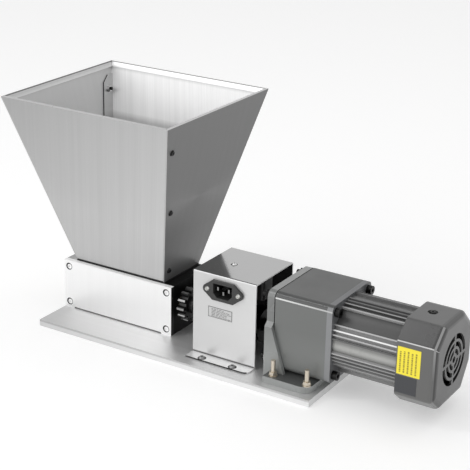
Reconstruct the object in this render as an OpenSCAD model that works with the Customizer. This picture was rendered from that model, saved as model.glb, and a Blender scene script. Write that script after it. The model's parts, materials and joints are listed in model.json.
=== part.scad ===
// Electric two-roller grain mill: hopper, roller mill, drive cover and gear motor on one base plate.
// The origin is the centre of the base plate's underside. +X runs to the motor, +Y to the back.
// The roller shaft, the coupling and the gearbox output shaft share one axis, at y = 0.

/* [Base plate] */
// Length of the base plate, from the mill end to the motor end
base_len = 364; // [360:1:420]
// Width of the base plate, front to back
base_w = 146; // [144:1:200]
// Thickness of the base plate
base_t = 8; // [6:0.5:12]
// Width of the grist opening under the rollers
grist_w = 50; // [30:1:60]
// Distance of the grist opening from the inner faces of the end plates
grist_inset = 4; // [1:0.5:20]

/* [Mill body] */
// Length of the mill body along the rollers
mill_len = 154.5; // [120:0.5:170]
// Height of the mill body above the base plate
mill_h = 60.5; // [57:0.5:75]
// Height of the roller axes above the base plate
shaft_rise = 35; // [34:0.5:36]
// Thickness of the front and rear side plates
side_plate_t = 6; // [5:0.5:8]
// Thickness of the two end plates that carry the rollers
end_plate_t = 14; // [13:0.5:18]
// Depth of the relief cut under each side plate
side_relief = 1.5; // [0.5:0.1:3]

/* [Rollers and gears] */
// Outer diameter of a roller over its flutes
roller_d = 35; // [30:0.5:38]
// Gap between the rollers at the closed setting
roller_gap = 1.3; // [0.8:0.1:1.6]
// Travel of the idler roller from the closed to the widest setting
gap_travel = 1.2; // [0.5:0.1:1.5]
// Depth of a roller flute
flute_depth = 0.8; // [0.3:0.1:1.5]
// Number of flutes on a roller
flute_count = 48; // [24:2:72]
// Diameter of the roller journals
journal_d = 12; // [10:0.5:14]
// Teeth of each roller gear
roller_gear_teeth = 12; // [12:2:16]
// Face width of a roller gear
roller_gear_w = 9.4; // [6:0.2:12]

/* [Hopper] */
// Height of the sloped part of the hopper
hopper_h = 207; // [120:1:260]
// How far the hopper flares beyond its throat at each end
hopper_flare_x = 50.4; // [20:0.5:70]
// How far the hopper flares beyond its throat at front and back
hopper_flare_y = 66.6; // [20:0.5:80]
// Sheet thickness of the hopper
hopper_sheet = 1.5; // [1:0.1:2]
// Width of the folded hem along the rim
hem_w = 7; // [4:0.5:12]
// Width of the corner flanges of the front and rear panels
corner_flange_w = 19; // [14:0.5:24]
// Depth of the skirt that stands in the mill body
skirt_h = 8; // [7:0.5:9]

/* [Drive cover] */
// Gap between the mill body and the drive cover
cover_gap = 43; // [20:0.5:60]
// Length of the drive cover along the shaft
cover_len = 81; // [70:0.5:100]
// Depth of the drive cover, front to back
cover_w = 80; // [76:0.5:90]
// Height of the drive cover above the base plate
cover_h = 101; // [96:0.5:120]
// Sheet thickness of the drive cover
cover_sheet = 1.5; // [1:0.1:2]
// Depth of the cover's foot flanges
cover_flange = 15; // [13:0.5:18]

/* [Gear motor] */
// Gap between the drive cover and the mounting bracket
bracket_gap = 15.5; // [10:0.5:40]
// Thickness of the bracket's upright plate
bracket_t = 8.5; // [6:0.5:12]
// Thickness of the bracket's foot
foot_t = 8; // [5:0.5:9]
// Width and height of the gearbox and of the motor's square parts
frame_size = 90; // [88:1:94]
// Length of the gearbox with the motor's front plate
gearbox_len = 70; // [64:0.5:80]
// Height of the motor axis above the output shaft
shaft_drop = 19.5; // [19.5:0.1:20]
// Diameter of the output shaft
output_d = 15; // [12:0.5:16]
// Length of the finned motor housing
housing_len = 76.3; // [74:0.1:100]
// Diameter of the motor housing between its fins
housing_d = 82; // [80:0.5:84]
// Height of a fin on the motor housing
fin_h = 3.4; // [1:0.1:3.5]
// Length of the fan cover
fan_cover_len = 44.2; // [40:0.1:50]
// Width and height of the fan cover
fan_cover_size = 94; // [92:1:100]

/* [Hidden] */
$fn = 64;

// Clearances shared by all parts
cut = 1;
running_gap = 0.05;
hole_gap = 0.1;
slide_gap = 0.15;

// Mill body and shaft places
mill_x0 = -base_len / 2;
mill_x1 = mill_x0 + mill_len;
mill_cx = (mill_x0 + mill_x1) / 2;
mill_z0 = base_t;
mill_z1 = mill_z0 + mill_h;
axis_z = base_t + shaft_rise;
roller_centres = roller_d + roller_gap;
roller_side_gap = 0.5;
mill_y0 = -(roller_d / 2 + roller_side_gap + side_plate_t);
mill_y1 = roller_centres + gap_travel - mill_y0;
mill_cy = (mill_y0 + mill_y1) / 2;
end_y0 = mill_y0 + side_plate_t;
end_y1 = mill_y1 - side_plate_t;
relief_z = mill_z0 + side_relief;

// Side plate screws, countersunk, with a hexagon socket
side_screw_r = 2;
side_screw_head_r = 4.1;
side_screw_head_h = 2.3;
side_screw_len = 16;
side_screw_edge = 7.5;
socket_share = 0.34;
socket_depth_share = 0.7;
side_screw_zs = [mill_z0 + side_screw_edge, mill_z1 - side_screw_edge];
end_plate_xs = [mill_x0 + end_plate_t / 2, mill_x1 - end_plate_t / 2];

// Bolts that hold the end plates to the base plate from below
end_bolt_r = 3;
end_bolt_head_r = 6;
end_bolt_head_h = 3.3;
end_bolt_grip = 9;
end_bolt_gap = 2;
end_bolt_inset = side_screw_len + end_bolt_r + end_bolt_gap;
end_bolt_ys = [mill_y0 + end_bolt_inset, mill_y1 - end_bolt_inset];

// Rollers, journals and bushes
roller_end_gap = 1.3;
journal_r = journal_d / 2;
bush_r = 9;
bush_flange_r = 11;
bush_flange_t = 1;
journal_inset = 1;
roller_x0 = mill_x0 + end_plate_t + roller_end_gap;
roller_x1 = mill_x1 - end_plate_t - roller_end_gap;

// Roller gears, in mesh outside the right end plate
gear_side_gap = 5;
gear_play = 0.3;
gear_thinning = 0.3;
pressure_angle = 25;
flank_steps = 4;
roller_gear_pitch_r = (roller_centres - gear_play) / 2;
roller_gear_module = 2 * roller_gear_pitch_r / roller_gear_teeth;
addendum_share = 0.7;
dedendum_share = 0.95;
roller_gear_x0 = mill_x1 + gear_side_gap;
roller_gear_x1 = roller_gear_x0 + roller_gear_w;
gear_boss_r = 10;
gear_boss_len = 5;
gear_stub = 2;

// Sliding bearing blocks and adjusting screws of the idler roller
block_w = 24;
block_h = 26;
slot_y0 = roller_centres - block_w / 2 - slide_gap;
slot_y1 = roller_centres + block_w / 2 + gap_travel + slide_gap;
adjuster_r = 3;
adjuster_seat = 4;
adjuster_clear = 0.3;
adjuster_nut_r = 5.8;
adjuster_nut_h = 5;
adjuster_head_r = 5;
adjuster_head_h = 5;
adjuster_y0 = roller_centres + block_w / 2 - adjuster_seat;
adjuster_nut_y1 = mill_y1 + adjuster_nut_h;
adjuster_head_y0 = adjuster_nut_y1 + cut;

// Hopper: the throat fits the opening of the mill body
hopper_fit = 0.3;
hopper_fold_rise = 1.5;
throat_a = mill_len / 2 - end_plate_t - hopper_fit;
throat_b = (mill_y1 - mill_y0) / 2 - side_plate_t - hopper_fit;
hopper_z0 = mill_z1 + hopper_fold_rise;
flange_top_gap = 15;
flange_chamfer = 8;
corner_screw_shares = [0.067, 0.465, 0.85];
corner_screw_r = 2;
corner_screw_head_r = 3.6;
corner_screw_head_h = 1.8;
corner_screw_len = 8;
corner_nut_r = 3.9;
corner_nut_h = 3;
seat_screw_r = 1.5;
seat_screw_head_r = 2.6;
seat_screw_head_h = 1.4;
seat_screw_len = 7;
seat_screw_y_share = 0.6;
seat_screw_z = mill_z1 - skirt_h / 4 - seat_screw_r / 2;

// Drive cover, its feet and its screws
cover_x0 = mill_x1 + cover_gap;
cover_x1 = cover_x0 + cover_len;
cover_cy = -3;
cover_y0 = cover_cy - cover_w / 2;
cover_y1 = cover_cy + cover_w / 2;
cover_z1 = base_t + cover_h;
cover_bend_r = 1.8;
cover_corner_r = 7;
cover_screw_r = 2;
cover_screw_head_r = 4;
cover_screw_head_h = 2;
capacitor_screw_r = 1.5;
capacitor_screw_head_r = 3;
capacitor_screw_head_h = 1.7;
capacitor_nut_r = 3.2;
cover_screw_edge = 4.5;
cover_screw_span = 40;
cover_screw_first = 19;

// Appliance inlet on the front of the drive cover
inlet_x_in = 39.8;
inlet_x = cover_x0 + inlet_x_in;
inlet_down = 17.5;
inlet_z = cover_z1 - inlet_down;
inlet_ear_r = 5.5;
inlet_ear_bite = 0.3;
inlet_flat = 27;
inlet_h = 23.6;
inlet_flange_t = 3;
inlet_body_w = 27.5;
inlet_body_h = 19.6;
inlet_body_depth = 20;
inlet_wall = 1.6;
inlet_chamfer = 5;
inlet_cavity_depth = 17;
inlet_screw_span = 40;
inlet_screw_r = 1.5;
inlet_screw_head_r = 2.8;
inlet_screw_head_h = 1.6;
inlet_screw_len = 10;
inlet_nut_r = 3.1;
inlet_nut_h = 2.4;
pin_w = 2;
pin_h = 4;
pin_len = 22;
pin_recess = 2;
pin_span = 14;
pin_row_up = 2;
earth_pin_down = 2.4;

// Run capacitor that hangs under the cover's top
capacitor_len = 38;
capacitor_w = 22;
capacitor_h = 28;
capacitor_ear_len = 14;
capacitor_ear_t = 2;
capacitor_corner_r = 4;
capacitor_screw_x_in = 30;
capacitor_screw_y = -6.5;
capacitor_screw_x = cover_x0 + capacitor_screw_x_in;
capacitor_x0 = capacitor_screw_x + capacitor_ear_len / 2;
capacitor_nut_h = 3;
capacitor_z1 = cover_z1 - cover_sheet;

// Bare rating plate on the front of the cover
plate_t = 0.3;
plate_w = 31;
plate_h = 12.5;
plate_x_in = 20;
plate_down = 39;

// Shaft coupling inside the cover
hub_r = 20;
hub_len = 24;
jaw_len = 12;
jaw_gap = 1;
jaw_angle = 52;
jaw_count = 3;
spider_core_r = 8;
spider_arm_angle = 7;
hub_side_gap = 8;
hub_a_x0 = cover_x0 + hub_side_gap;
hub_a_x1 = hub_a_x0 + hub_len;
hub_b_x0 = hub_a_x1 + jaw_len + 2 * jaw_gap;
shaft_end_gap = 2;

// Bracket and its foot
bracket_x0 = cover_x1 + bracket_gap;
gear_x0 = bracket_x0 + bracket_t;
gear_x1 = gear_x0 + gearbox_len;
motor_z = axis_z + shaft_drop;
half = frame_size / 2;
frame_corner_r = 7;
bracket_corner_r = 8;
bracket_flare = 5;
bracket_flare_top = 10;
bracket_flare_step = 5;
foot_top = base_t + foot_t;
foot_len = 55.5;
foot_reach = 19;
foot_corner_r = 12;
foot_hw = half + foot_reach;
gusset_t = 4.5;
gusset_foot = 16.5;
boss_clear = 0.5;
foot_bolt_r = 2.5;
foot_bolt_head_r = 5;
foot_bolt_head_h = 2.8;
foot_bolt_tip = 18.5;
foot_bolt_edge = 7;
foot_bolt_first = 8;
foot_bolt_span = 41.5;
foot_nut_r = 4.62;
foot_nut_h = 4;
foot_washer_r = 5;
foot_washer_t = 1;
foot_bolt_xs = [gear_x0 + foot_bolt_first, gear_x0 + foot_bolt_first + foot_bolt_span];
foot_bolt_ys = [-(foot_hw - foot_bolt_edge), foot_hw - foot_bolt_edge];

// Screws through the gearbox and the bracket
through_inset = 8.25;
through_r = 3;
through_head_r = 5;
through_head_h = 6;
through_nut_r = 5.8;
through_nut_h = 5;
through_tip = 4.5;

// Gearbox housing, its groove against the bracket and its front boss
gearbox_wall = 4;
gearbox_front_t = 10;
gearbox_groove_w = 1.2;
gearbox_groove_depth = 1.5;
cavity_corner = 20;
motor_plate_t = 6.5;
motor_plate_x0 = gear_x1 - motor_plate_t;
boss_r = 18;
boss_len = 7;
seal_lip = 1;
bearing_r = 16;
bearing_w = 11;
output_r = output_d / 2;
rear_journal_r = 5;
rear_bush_r = 7;

// Gear train: motor pinion, countershaft gear, countershaft pinion, output gear
train_module = 1;
pinion_teeth = 10;
counter_teeth = 34;
counter_pinion_teeth = 10;
output_teeth = 40;
train_addendum_share = 0.8;
train_dedendum_share = 1;
train_thinning = 0.12;
train_play = 0.08;
train_flank_steps = 3;
stage_a = train_module * (pinion_teeth + counter_teeth) / 2 + train_play;
stage_b = train_module * (counter_pinion_teeth + output_teeth) / 2 + train_play;
counter_dz = (shaft_drop * shaft_drop + stage_a * stage_a - stage_b * stage_b) / (2 * shaft_drop);
counter_y = sqrt(stage_a * stage_a - counter_dz * counter_dz);
counter_z = motor_z - counter_dz;
stage_a_angle = atan2(counter_z - motor_z, counter_y);
stage_b_angle = atan2(axis_z - counter_z, -counter_y);
output_gear_gap = 3;
output_gear_w = 10;
output_gear_x0 = gear_x0 + gearbox_front_t + output_gear_gap;
output_gear_x1 = output_gear_x0 + output_gear_w;
counter_pinion_overlap = 1;
counter_gear_w = 8;
counter_gear_gap = 8;
counter_gear_x0 = output_gear_x1 + counter_gear_gap;
counter_gear_x1 = counter_gear_x0 + counter_gear_w;
counter_r = 3.5;
counter_bush_r = 5.5;
counter_bush_len = 8;
pinion_overlap = 2;

// Motor housing, rotor and stator
housing_r = housing_d / 2;
bore_r = 38;
fin_t = 1.6;
fin_angles = [-31, -23.5, -17, -11, 11, 17, 23.5, 31];
fin_sides = 4;
fin_root = 1;
housing_x1 = gear_x1 + housing_len;
core_start = 13.5;
core_len = 38;
core_x0 = gear_x1 + core_start;
core_x1 = core_x0 + core_len;
rotor_r = 24;
air_gap = 0.6;
winding_r0 = 27;
winding_r1 = 36;
winding_len = 8;
rotor_shaft_r = 4;
motor_bearing_r = 11;
motor_bearing_w = 6.5;
bell_spigot = 7;
bell_rim = 7;
bell_gap = 0.5;
bell_t = 4;
bell_lug_w = 12;
bell_lug_len = 22;
bell_lug_h = 7;

// Fan and fan cover
fan_r = 33;
fan_hub_r = 8;
fan_blade_t = 1.5;
fan_blades = 7;
fan_disc_t = 1.5;
fan_gap = 3;
fan_len = 14;
fan_cover_wall = 2.5;
fan_cover_x1 = housing_x1 + fan_cover_len;
fan_half = fan_cover_size / 2;
fan_edge_r = 6;
fan_edge_steps = 4;
fan_corner_rs = [5, 6, 6, 12];
fan_round_fn = 24;
fan_chamfer_shares = [[0.234, 0.213], [0.219, 0.19], [0.214, 0.298], [0.291, 0.281]];
bell_rim_r = fan_half - fan_cover_wall - bell_gap;
bell_x1 = housing_x1 + bell_rim;
fan_x0 = bell_x1 + fan_gap;
fan_x1 = fan_x0 + fan_len;
grille_rings = [[22.5, 28.5], [14.5, 19.5], [7, 11.5]];
grille_bars = 2;
grille_bar_w = 3.5;
grille_eye_r = 3.5;
cover_lug_x = 16.9;
fan_screw_r = 2;
fan_screw_head_r = 4;
fan_screw_head_h = 1.8;
fan_screw_recess_r = 5.5;
fan_screw_recess = 1.2;
fan_screw_len = 7;

// Bare yellow label on the fan cover
label_t = 0.3;
label_w = 26;
label_h = 31;
label_in = 1.3;
label_top = 23.2;

// Rods and prisms along the three axes
module x_rod(r, x0, x1) { translate([x0, 0, 0]) rotate([0, 90, 0]) cylinder(r = r, h = x1 - x0); }
module y_rod(r, y0, y1) { translate([0, y0, 0]) rotate([-90, 0, 0]) cylinder(r = r, h = y1 - y0); }
module z_rod(r, z0, z1) { translate([0, 0, z0]) cylinder(r = r, h = z1 - z0); }
module along_x(x0, x1) { translate([x0, 0, 0]) rotate([90, 0, 90]) linear_extrude(x1 - x0) children(); }
module along_y(y0, y1) { translate([0, y1, 0]) rotate([90, 0, 0]) linear_extrude(y1 - y0) children(); }
module along_z(z0, z1) { translate([0, 0, z0]) linear_extrude(z1 - z0) children(); }
module block(x0, x1, y0, y1, z0, z1) {
    translate([x0, y0, z0]) cube([x1 - x0, y1 - y0, z1 - z0]);
}
module rounded_rect(w, h, r) {
    square([w - 2 * r, h], center = true);
    square([w, h - 2 * r], center = true);
    for (sx = [-1, 1], sy = [-1, 1]) translate([sx * (w / 2 - r), sy * (h / 2 - r)]) circle(r);
}
module hex(r) { circle(r, $fn = 6); }

// Countersunk screw along +Z from its flat head, with a hexagon socket
module countersunk(r, head_r, head_h, len) {
    difference() {
        union() {
            cylinder(r = r, h = len);
            cylinder(r1 = head_r, r2 = r, h = head_h);
        }
        translate([0, 0, -cut]) linear_extrude(cut + head_h * socket_depth_share)
            hex(head_r * socket_share);
    }
}
module countersunk_hole(r, head_r, head_h, len) {
    translate([0, 0, -cut]) cylinder(r = r + hole_gap, h = len + cut);
    cylinder(r1 = head_r + hole_gap, r2 = r + hole_gap, h = head_h);
    translate([0, 0, -cut]) cylinder(r = head_r + hole_gap, h = cut);
}
// Button head screw: the shank runs along +Z from the seat, the head lies below it
module button_screw(r, head_r, head_h, len) {
    difference() {
        union() {
            cylinder(r = r, h = len);
            translate([0, 0, -head_h]) cylinder(r1 = head_r * (1 - socket_share), r2 = head_r, h = head_h);
        }
        translate([0, 0, -head_h - cut]) linear_extrude(cut + head_h * socket_depth_share)
            hex(head_r * socket_share);
    }
}
module nut(r, bore, h) {
    difference() {
        linear_extrude(h) hex(r);
        translate([0, 0, -cut]) cylinder(r = bore, h = h + 2 * cut);
    }
}

// Involute spur gear outline
function inv(a) = tan(a) * 180 / PI - a;
function half_angle(rp, teeth, thin, r) =
    90 / teeth - thin / (2 * rp) * 180 / PI + inv(pressure_angle)
    - inv(acos(min(1, rp * cos(pressure_angle) / r)));
function polar(r, a) = [r * cos(a), r * sin(a)];
function tooth(rp, teeth, thin, rr, ra, steps, a) = let (rb = max(rr, rp * cos(pressure_angle))) concat(
    [polar(rr, a - half_angle(rp, teeth, thin, rb))],
    [for (k = [0:steps]) let (r = rb + (ra - rb) * k / steps)
        polar(r, a - half_angle(rp, teeth, thin, r))],
    [for (k = [steps:-1:0]) let (r = rb + (ra - rb) * k / steps)
        polar(r, a + half_angle(rp, teeth, thin, r))],
    [polar(rr, a + half_angle(rp, teeth, thin, rb))]);
module gear_outline(m, teeth, thin, add_share, ded_share, steps) {
    rp = m * teeth / 2;
    points = [for (i = [0:teeth - 1])
        each tooth(rp, teeth, thin, rp - m * ded_share, rp + m * add_share, steps, 360 * i / teeth)];
    polygon(points);
}
module roller_gear_outline() {
    gear_outline(roller_gear_module, roller_gear_teeth, gear_thinning, addendum_share, dedendum_share,
                 flank_steps);
}
module train_outline(teeth) {
    gear_outline(train_module, teeth, train_thinning, train_addendum_share, train_dedendum_share,
                 train_flank_steps);
}

module at_drive() { translate([0, 0, axis_z]) children(); }
module at_idler() { translate([0, roller_centres, axis_z]) children(); }
module at_motor() { translate([0, 0, motor_z]) children(); }
module at_counter() { translate([0, counter_y, counter_z]) children(); }
module at_foot_bolts() { for (x = foot_bolt_xs, y = foot_bolt_ys) translate([x, y, 0]) children(); }
module at_through_screws() {
    at_motor() for (sy = [-1, 1], sz = [-1, 1])
        translate([0, sy * (half - through_inset), sz * (half - through_inset)]) children();
}

// Base
module base_plate() {
    color("gainsboro") difference() {
        block(mill_x0, base_len / 2, -base_w / 2, base_w / 2, 0, base_t);
        block(mill_x0 + end_plate_t + grist_inset, mill_x1 - end_plate_t - grist_inset,
              mill_cy - grist_w / 2, mill_cy + grist_w / 2, -cut, base_t + cut);
        for (x = end_plate_xs, y = end_bolt_ys) translate([x, y, 0])
            countersunk_hole(end_bolt_r, end_bolt_head_r, end_bolt_head_h, base_t + cut);
        at_foot_bolts() countersunk_hole(foot_bolt_r, foot_bolt_head_r, foot_bolt_head_h, base_t + cut);
        at_cover_screws() z_rod(cover_screw_r, -cut, base_t + cut);
    }
}

// Mill body
module side_plate(y0, y1, face) {
    difference() {
        block(mill_x0, mill_x1, y0, y1, mill_z0, mill_z1);
        block(mill_x0 + end_plate_t, mill_x1 - end_plate_t, y0 - cut, y1 + cut, mill_z0 - cut, relief_z);
        for (x = end_plate_xs, z = side_screw_zs) translate([x, face < 0 ? y0 : y1, z])
            rotate([face < 0 ? -90 : 90, 0, 0])
                countersunk_hole(side_screw_r, side_screw_head_r, side_screw_head_h, side_plate_t + cut);
    }
}
module front_side_plate() { color("lightgray") side_plate(mill_y0, end_y0, -1); }
module rear_side_plate() {
    color("lightgray") difference() {
        side_plate(end_y1, mill_y1, 1);
        for (x = end_plate_xs) translate([x, 0, axis_z])
            y_rod(adjuster_r + running_gap, end_y1 - cut, mill_y1 + cut);
    }
}
module end_plate(x0) {
    x1 = x0 + end_plate_t;
    xm = x0 + end_plate_t / 2;
    difference() {
        block(x0, x1, end_y0, end_y1, mill_z0, mill_z1);
        at_drive() x_rod(bush_r, x0 - cut, x1 + cut);
        block(x0 - cut, x1 + cut, slot_y0, slot_y1, axis_z - block_h / 2 - slide_gap,
              axis_z + block_h / 2 + slide_gap);
        translate([xm, 0, axis_z]) y_rod(adjuster_r + adjuster_clear, slot_y1 - cut, end_y1 + cut);
        for (z = side_screw_zs) translate([xm, 0, z]) {
            y_rod(side_screw_r, end_y0 - cut, mill_y0 + side_screw_len);
            y_rod(side_screw_r, mill_y1 - side_screw_len, end_y1 + cut);
        }
        for (y = end_bolt_ys) translate([xm, y, 0])
            z_rod(end_bolt_r, mill_z0 - cut, mill_z0 + end_bolt_grip);
        at_seat_screws() x_rod(seat_screw_r, -seat_screw_len, cut);
    }
}
module left_end_plate() { color("dimgray") end_plate(mill_x0); }
module right_end_plate() { color("dimgray") end_plate(mill_x1 - end_plate_t); }
module side_plate_screws() {
    color("slategray") for (x = end_plate_xs, z = side_screw_zs) translate([x, 0, z]) {
        translate([0, mill_y0, 0]) rotate([-90, 0, 0])
            countersunk(side_screw_r, side_screw_head_r, side_screw_head_h, side_screw_len);
        translate([0, mill_y1, 0]) rotate([90, 0, 0])
            countersunk(side_screw_r, side_screw_head_r, side_screw_head_h, side_screw_len);
    }
}
module end_plate_bolts() {
    color("slategray") for (x = end_plate_xs, y = end_bolt_ys) translate([x, y, 0])
        countersunk(end_bolt_r, end_bolt_head_r, end_bolt_head_h, mill_z0 + end_bolt_grip);
}

// Rollers and their gears
module fluted_body() {
    points = [for (i = [0:2 * flute_count - 1])
        polar(roller_d / 2 - (i % 2) * flute_depth, 180 * i / flute_count)];
    along_x(roller_x0, roller_x1) polygon(points);
}
module drive_roller() {
    color("silver") at_drive() {
        fluted_body();
        x_rod(journal_r, mill_x0 + journal_inset, hub_a_x1 - shaft_end_gap);
    }
}
module idler_roller() {
    color("silver") at_idler() {
        fluted_body();
        x_rod(journal_r, mill_x0 + journal_inset, roller_gear_x1 + gear_boss_len + gear_stub);
    }
}
module roller_gear() {
    difference() {
        union() {
            along_x(roller_gear_x0, roller_gear_x1) roller_gear_outline();
            x_rod(gear_boss_r, roller_gear_x1 - cut, roller_gear_x1 + gear_boss_len);
        }
        x_rod(journal_r, roller_gear_x0 - cut, roller_gear_x1 + gear_boss_len + cut);
    }
}
module drive_gear() { color("darkgray") at_drive() roller_gear(); }
module idler_gear() {
    color("darkgray") at_idler() rotate([180 / roller_gear_teeth, 0, 0]) roller_gear();
}
module drive_roller_bushes() {
    color("goldenrod") at_drive() for (side = [0, 1]) {
        x0 = side == 0 ? mill_x0 : mill_x1 - end_plate_t;
        fx = side == 0 ? mill_x0 + end_plate_t : mill_x1 - end_plate_t - bush_flange_t;
        difference() {
            union() {
                x_rod(bush_r, x0, x0 + end_plate_t);
                x_rod(bush_flange_r, fx, fx + bush_flange_t);
            }
            x_rod(journal_r + running_gap, x0 - 2 * cut, x0 + end_plate_t + 2 * cut);
        }
    }
}
module gap_block(x0) {
    difference() {
        block(x0, x0 + end_plate_t, roller_centres - block_w / 2, roller_centres + block_w / 2,
              axis_z - block_h / 2, axis_z + block_h / 2);
        at_idler() x_rod(journal_r + running_gap, x0 - cut, x0 + end_plate_t + cut);
        translate([x0 + end_plate_t / 2, 0, axis_z])
            y_rod(adjuster_r + running_gap, adjuster_y0 - hole_gap, roller_centres + block_w / 2 + cut);
    }
}
module left_gap_block() { color("goldenrod") gap_block(mill_x0); }
module right_gap_block() { color("goldenrod") gap_block(mill_x1 - end_plate_t); }
module adjusting_screw(x) {
    translate([x, 0, axis_z]) difference() {
        union() {
            y_rod(adjuster_r, adjuster_y0, adjuster_head_y0 + cut);
            y_rod(adjuster_head_r, adjuster_head_y0, adjuster_head_y0 + adjuster_head_h);
        }
        along_y(adjuster_head_y0 + adjuster_head_h * (1 - socket_depth_share),
                adjuster_head_y0 + adjuster_head_h + cut) hex(adjuster_head_r / 2);
    }
}
module left_adjusting_screw() { color("slategray") adjusting_screw(end_plate_xs[0]); }
module right_adjusting_screw() { color("slategray") adjusting_screw(end_plate_xs[1]); }
module adjuster_lock_nuts() {
    color("slategray") for (x = end_plate_xs) translate([x, mill_y1, axis_z]) rotate([-90, 0, 0])
        nut(adjuster_nut_r, adjuster_r + running_gap, adjuster_nut_h);
}

// Hopper. Each wall is drawn as the front one and turned into place.
// Its own frame has u along the rim, v up the slope and w outwards.
function slant(run) = sqrt(run * run + hopper_h * hopper_h);
module wall_frame(turn) {
    dist = turn % 180 == 0 ? throat_b : throat_a;
    run = turn % 180 == 0 ? hopper_flare_y : hopper_flare_x;
    translate([mill_cx, mill_cy, hopper_z0]) rotate([0, 0, turn]) translate([0, -dist, 0])
        rotate([atan2(hopper_h, -run), 0, 0]) children();
}
// Half length of a wall's edge at height v up its slope
function edge_at(half_len, across, len, v) = half_len + across * v / len;
module wall_sheet(half_len, across, len, depth, v0, v1, grow) {
    a0 = edge_at(half_len, across, len, v0) + grow;
    a1 = edge_at(half_len, across, len, v1) + grow;
    translate([0, 0, -depth]) linear_extrude(hopper_sheet)
        polygon([[-a0, v0], [a0, v0], [a1, v1], [-a1, v1]]);
}
module side_wall(turn, grow) {
    len = slant(hopper_flare_x);
    wall_frame(turn)
        wall_sheet(throat_b, hopper_flare_y, len, hopper_sheet, grow > 0 ? -skirt_h : 0, len + grow, grow);
}
module skirt(turn, trim) {
    dist = turn % 180 == 0 ? throat_b : throat_a;
    run = (turn % 180 == 0 ? throat_a : throat_b) - trim;
    translate([mill_cx, mill_cy, 0]) rotate([0, 0, turn])
        block(-run, run, -dist, -dist + hopper_sheet, hopper_z0 - skirt_h, hopper_z0 + hopper_sheet / 2);
}
module at_seat_screws() {
    for (turn = [90, 270], side = [-1, 1]) translate([mill_cx, mill_cy, seat_screw_z])
        rotate([0, 0, turn - 90])
            translate([throat_a + hopper_fit, side * throat_b * seat_screw_y_share, 0])
                rotate([0, 0, 180]) children();
}
// The right panel's rear corner is spot welded and has no screws
function screw_sides(turn) = turn == 90 ? [-1] : [-1, 1];
module at_corner_screws(turn) {
    len = slant(hopper_flare_x);
    wall_frame(turn) for (side = screw_sides(turn), share = corner_screw_shares) {
        v = share * len;
        u = edge_at(throat_b, hopper_flare_y, len, v) - corner_flange_w / 2;
        translate([side * u, v, 0]) children();
    }
}
module corner_flange(turn, side) {
    len = slant(hopper_flare_x);
    v1 = len - flange_top_gap;
    v0 = hopper_sheet;
    a0 = edge_at(throat_b, hopper_flare_y, len, v0);
    ac = edge_at(throat_b, hopper_flare_y, len, v1 - flange_chamfer);
    a1 = edge_at(throat_b, hopper_flare_y, len, v1);
    wall_frame(turn) translate([0, 0, -2 * hopper_sheet]) linear_extrude(hopper_sheet) polygon([
        [side * a0, v0], [side * (a0 - corner_flange_w), v0],
        [side * (ac - corner_flange_w), v1 - flange_chamfer],
        [side * (a1 - corner_flange_w + flange_chamfer), v1], [side * a1, v1]]);
}
module hopper_face(turn) {
    len = slant(hopper_flare_y);
    right_side = turn == 0 ? -1 : 1;
    difference() {
        union() {
            difference() {
                union() {
                    wall_frame(turn) {
                        wall_sheet(throat_a, hopper_flare_x, len, hopper_sheet, 0, len, -hopper_sheet / 2);
                        wall_sheet(throat_a, hopper_flare_x, len, 2 * hopper_sheet, len - hem_w, len,
                                   -2 * hopper_sheet - hole_gap);
                    }
                    skirt(turn, hopper_sheet);
                }
                side_wall(90, hem_w);
                side_wall(270, hem_w);
            }
            corner_flange(90, right_side);
            corner_flange(270, -right_side);
        }
        for (end = [90, 270])
            at_corner_screws(end) z_rod(corner_screw_r + hole_gap, -corner_screw_len, cut);
    }
}
module hopper_end(turn) {
    len = slant(hopper_flare_x);
    difference() {
        union() {
            side_wall(turn, 0);
            wall_frame(turn) wall_sheet(throat_b, hopper_flare_y, len, 2 * hopper_sheet, len - hem_w, len,
                                        -hopper_sheet - hole_gap);
            skirt(turn, 0);
        }
        at_corner_screws(turn) z_rod(corner_screw_r + hole_gap, -corner_screw_len, cut);
        at_seat_screws() x_rod(seat_screw_r + hole_gap, -cut, 2 * hopper_sheet);
    }
}
module hopper_front_panel() { color("silver") hopper_face(0); }
module hopper_rear_panel() { color("silver") hopper_face(180); }
module hopper_right_panel() { color("gray") hopper_end(90); }
module hopper_left_panel() { color("gray") hopper_end(270); }
module hopper_corner_screws() {
    color("dimgray") for (turn = [90, 270]) at_corner_screws(turn) mirror([0, 0, 1])
        button_screw(corner_screw_r, corner_screw_head_r, corner_screw_head_h, corner_screw_len);
}
module hopper_corner_nuts() {
    color("dimgray") for (turn = [90, 270]) at_corner_screws(turn)
        translate([0, 0, -2 * hopper_sheet - corner_nut_h]) nut(corner_nut_r, corner_screw_r, corner_nut_h);
}
module hopper_seat_screws() {
    color("dimgray") at_seat_screws() translate([hopper_sheet + hopper_fit, 0, 0]) rotate([0, -90, 0])
        button_screw(seat_screw_r, seat_screw_head_r, seat_screw_head_h,
                     seat_screw_len + hopper_sheet + hopper_fit);
}

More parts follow.
